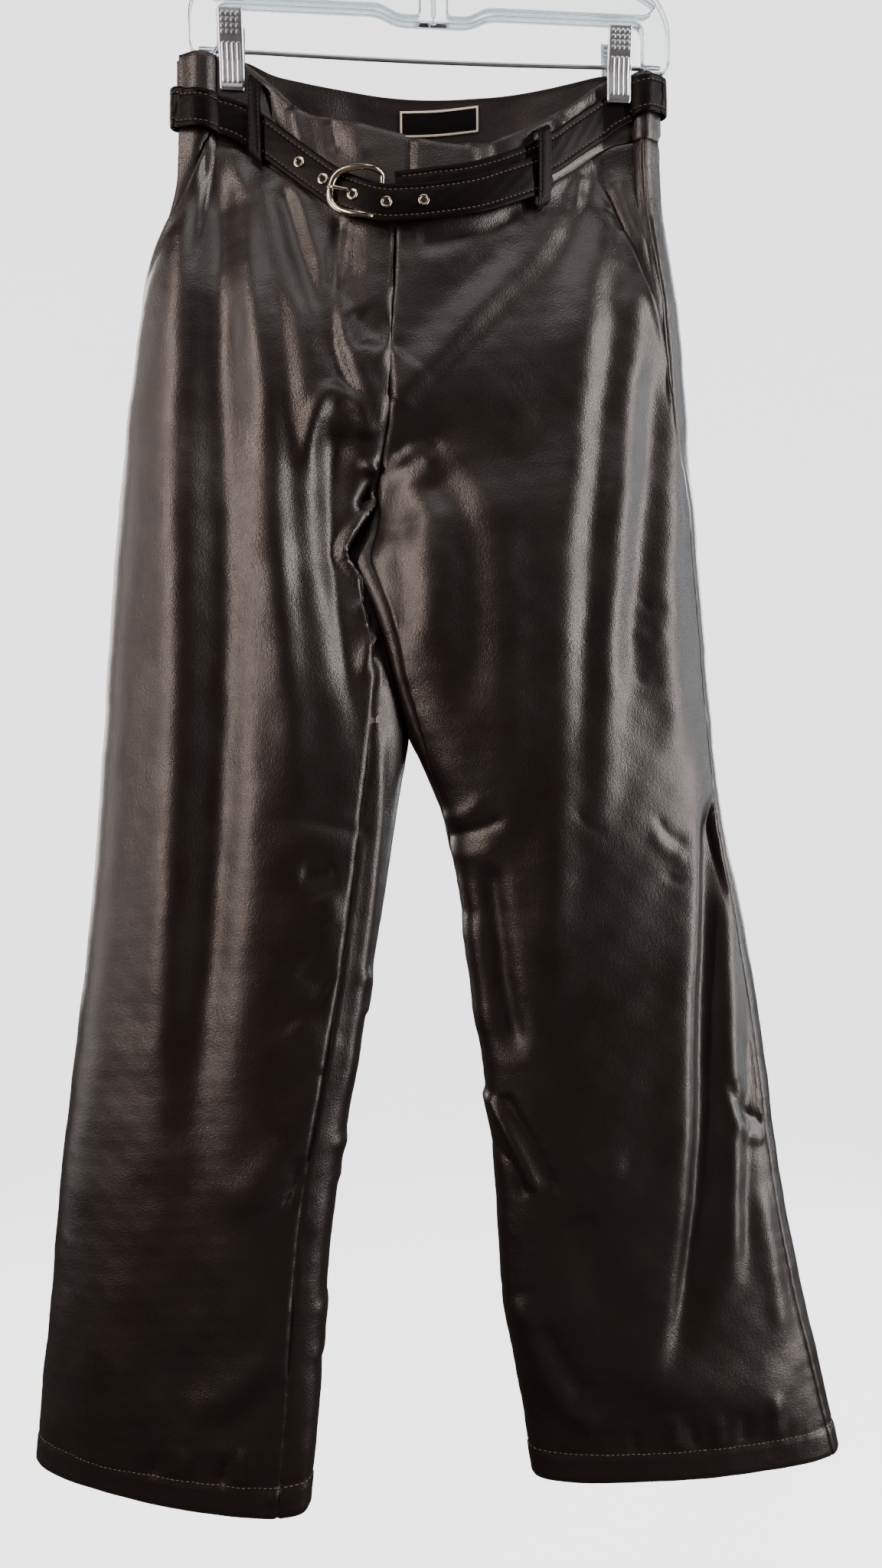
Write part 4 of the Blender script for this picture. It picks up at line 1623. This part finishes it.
def make_camera():
    """The photograph's camera: its place, its turn and its lens."""
    yaw, pitch, roll = CAMERA_YAW, CAMERA_PITCH, CAMERA_ROLL
    ahead = Vector((math.sin(yaw) * math.cos(pitch), math.cos(yaw) * math.cos(pitch),
                    -math.sin(pitch)))
    level = Vector((math.cos(yaw), -math.sin(yaw), 0.0))
    upright = level.cross(ahead)
    right = level * math.cos(roll) + upright * math.sin(roll)
    up = upright * math.cos(roll) - level * math.sin(roll)
    data = bpy.data.cameras.new("photo_camera")
    data.sensor_fit = "VERTICAL"
    data.sensor_height = 36.0
    data.lens = LENS
    data.clip_start = 0.01
    camera = add_object("photo_camera", data)
    camera.matrix_world = Matrix.Translation(CAMERA_AT) @ turned(right, up, -ahead)
    bpy.context.scene.camera = camera


# --- what a user sets, and the operators ----------------------------------------------------------


class TrouserLook(bpy.types.PropertyGroup):
    leather_colour: FloatVectorProperty(
        name="Leather", description="Colour of the trousers' leather", subtype="COLOR", size=3,
        default=(0.0056, 0.0026, 0.0018), min=0.0, max=1.0)
    belt_colour: FloatVectorProperty(
        name="Belt", description="Colour of the belt's leather", subtype="COLOR", size=3,
        default=(0.0022, 0.0013, 0.0011), min=0.0, max=1.0)
    thread_colour: FloatVectorProperty(
        name="Hem thread", description="Colour of the thread that sews the hems", subtype="COLOR",
        size=3, default=(0.20, 0.15, 0.12), min=0.0, max=1.0)
    leather_roughness: FloatProperty(
        name="Leather roughness", description="How dull the leather's gloss is",
        subtype="FACTOR", default=0.33, min=0.0, max=1.0)
    light_strength: FloatProperty(
        name="Light strength", description="Share of the studio lights' full power",
        default=1.0, min=0.0)


class BuildStep:
    bl_options = {"REGISTER", "UNDO"}


class TROUSERS_OT_mix_materials(BuildStep, bpy.types.Operator):
    """Mixes the leathers, threads, metals, clear plastic and label cloth"""

    bl_idname = "trousers.mix_materials"
    bl_label = "Mix materials"

    def execute(self, context):
        look = context.scene.trouser_look
        make_leathers(look)
        make_threads(look)
        make_metals()
        make_plastic()
        make_label_satin()
        make_eyelet_dark()
        return {"FINISHED"}


class TROUSERS_OT_sew_panels(BuildStep, bpy.types.Operator):
    """Sews the front and back panels and the pocket sides, with their folds, seams and hems"""

    bl_idname = "trousers.sew_panels"
    bl_label = "Sew panels"

    def execute(self, context):
        for side in ("left", "right"):
            make_panel(side, "front", 98, 400)
            make_panel(side, "back", 76, 300)
            make_pocket_side(side)
        make_cloth_stitches()
        return {"FINISHED"}


class TROUSERS_OT_sew_waistband(BuildStep, bpy.types.Operator):
    """Sews the waistband's three lengths and the label inside it"""

    bl_idname = "trousers.sew_waistband"
    bl_label = "Sew waistband"

    def execute(self, context):
        side_left = 180 - LEG_ROWS["left"][0].side_seam
        side_right = LEG_ROWS["right"][0].side_seam
        lap = math.degrees(waist_angle_at(LAP_X))
        under = math.degrees(waist_angle_at(LAP_X - LAP_LENGTH))
        make_band("waistband_front_left", side_left, lap, 190)
        make_band("waistband_front_right", under, side_right, 190)
        make_band("waistband_back", side_right, side_left - 360, 300)
        make_label()
        return {"FINISHED"}


class TROUSERS_OT_lay_belt(BuildStep, bpy.types.Operator):
    """Lays the belt round the waistband, with its eyelets, its buckle and the belt loops"""

    bl_idname = "trousers.lay_belt"
    bl_label = "Lay belt"

    def execute(self, context):
        line = BeltLine()
        make_belt(line)
        make_eyelets(line)
        make_buckle()
        for side, x in FRONT_LOOPS.items():
            over = float(column(TIP_ROWS, "off", x, key="x")) + 3 * REST
            make_loop(f"loop_front_{side}", x, "front", over)
        for side, x in BACK_LOOPS.items():
            make_loop(f"loop_back_{side}", x, "back", ON_BAND + 2 * REST)
        return {"FINISHED"}


class TROUSERS_OT_hang_hanger(BuildStep, bpy.types.Operator):
    """Makes the clear frame, its hook and bar, and the two sprung clips"""

    bl_idname = "trousers.hang_hanger"
    bl_label = "Make hanger"

    def execute(self, context):
        make_hanger()
        for side in ("left", "right"):
            make_clip(side)
        return {"FINISHED"}


class TROUSERS_OT_set_stage(BuildStep, bpy.types.Operator):
    """Sets the pale floor, the studio lights and the camera"""

    bl_idname = "trousers.set_stage"
    bl_label = "Set stage"

    def execute(self, context):
        make_bowl()
        make_lights(context.scene.trouser_look.light_strength)
        make_camera()
        return {"FINISHED"}


STEPS = (
    TROUSERS_OT_mix_materials,
    TROUSERS_OT_sew_panels,
    TROUSERS_OT_sew_waistband,
    TROUSERS_OT_lay_belt,
    TROUSERS_OT_hang_hanger,
    TROUSERS_OT_set_stage,
)


class TROUSERS_PT_build(bpy.types.Panel):
    """The build steps and what they take"""

    bl_label = "Leather trousers"
    bl_idname = "TROUSERS_PT_build"
    bl_space_type = "VIEW_3D"
    bl_region_type = "UI"
    bl_category = "Trousers"

    def draw(self, context):
        look = context.scene.trouser_look
        for name in look.bl_rna.properties.keys():
            if name not in {"rna_type", "name"}:
                self.layout.prop(look, name)
        for step in STEPS:
            self.layout.operator(step.bl_idname)


CLASSES = (TrouserLook, *STEPS, TROUSERS_PT_build)


def register():
    for item in CLASSES:
        bpy.utils.register_class(item)
    bpy.types.Scene.trouser_look = PointerProperty(type=TrouserLook)


def unregister():
    del bpy.types.Scene.trouser_look
    for item in reversed(CLASSES):
        bpy.utils.unregister_class(item)


def main():
    register()
    bpy.ops.trousers.mix_materials()
    bpy.ops.trousers.sew_panels()
    bpy.ops.trousers.sew_waistband()
    bpy.ops.trousers.lay_belt()
    bpy.ops.trousers.hang_hanger()
    bpy.ops.trousers.set_stage()


if __name__ == "__main__":
    main()
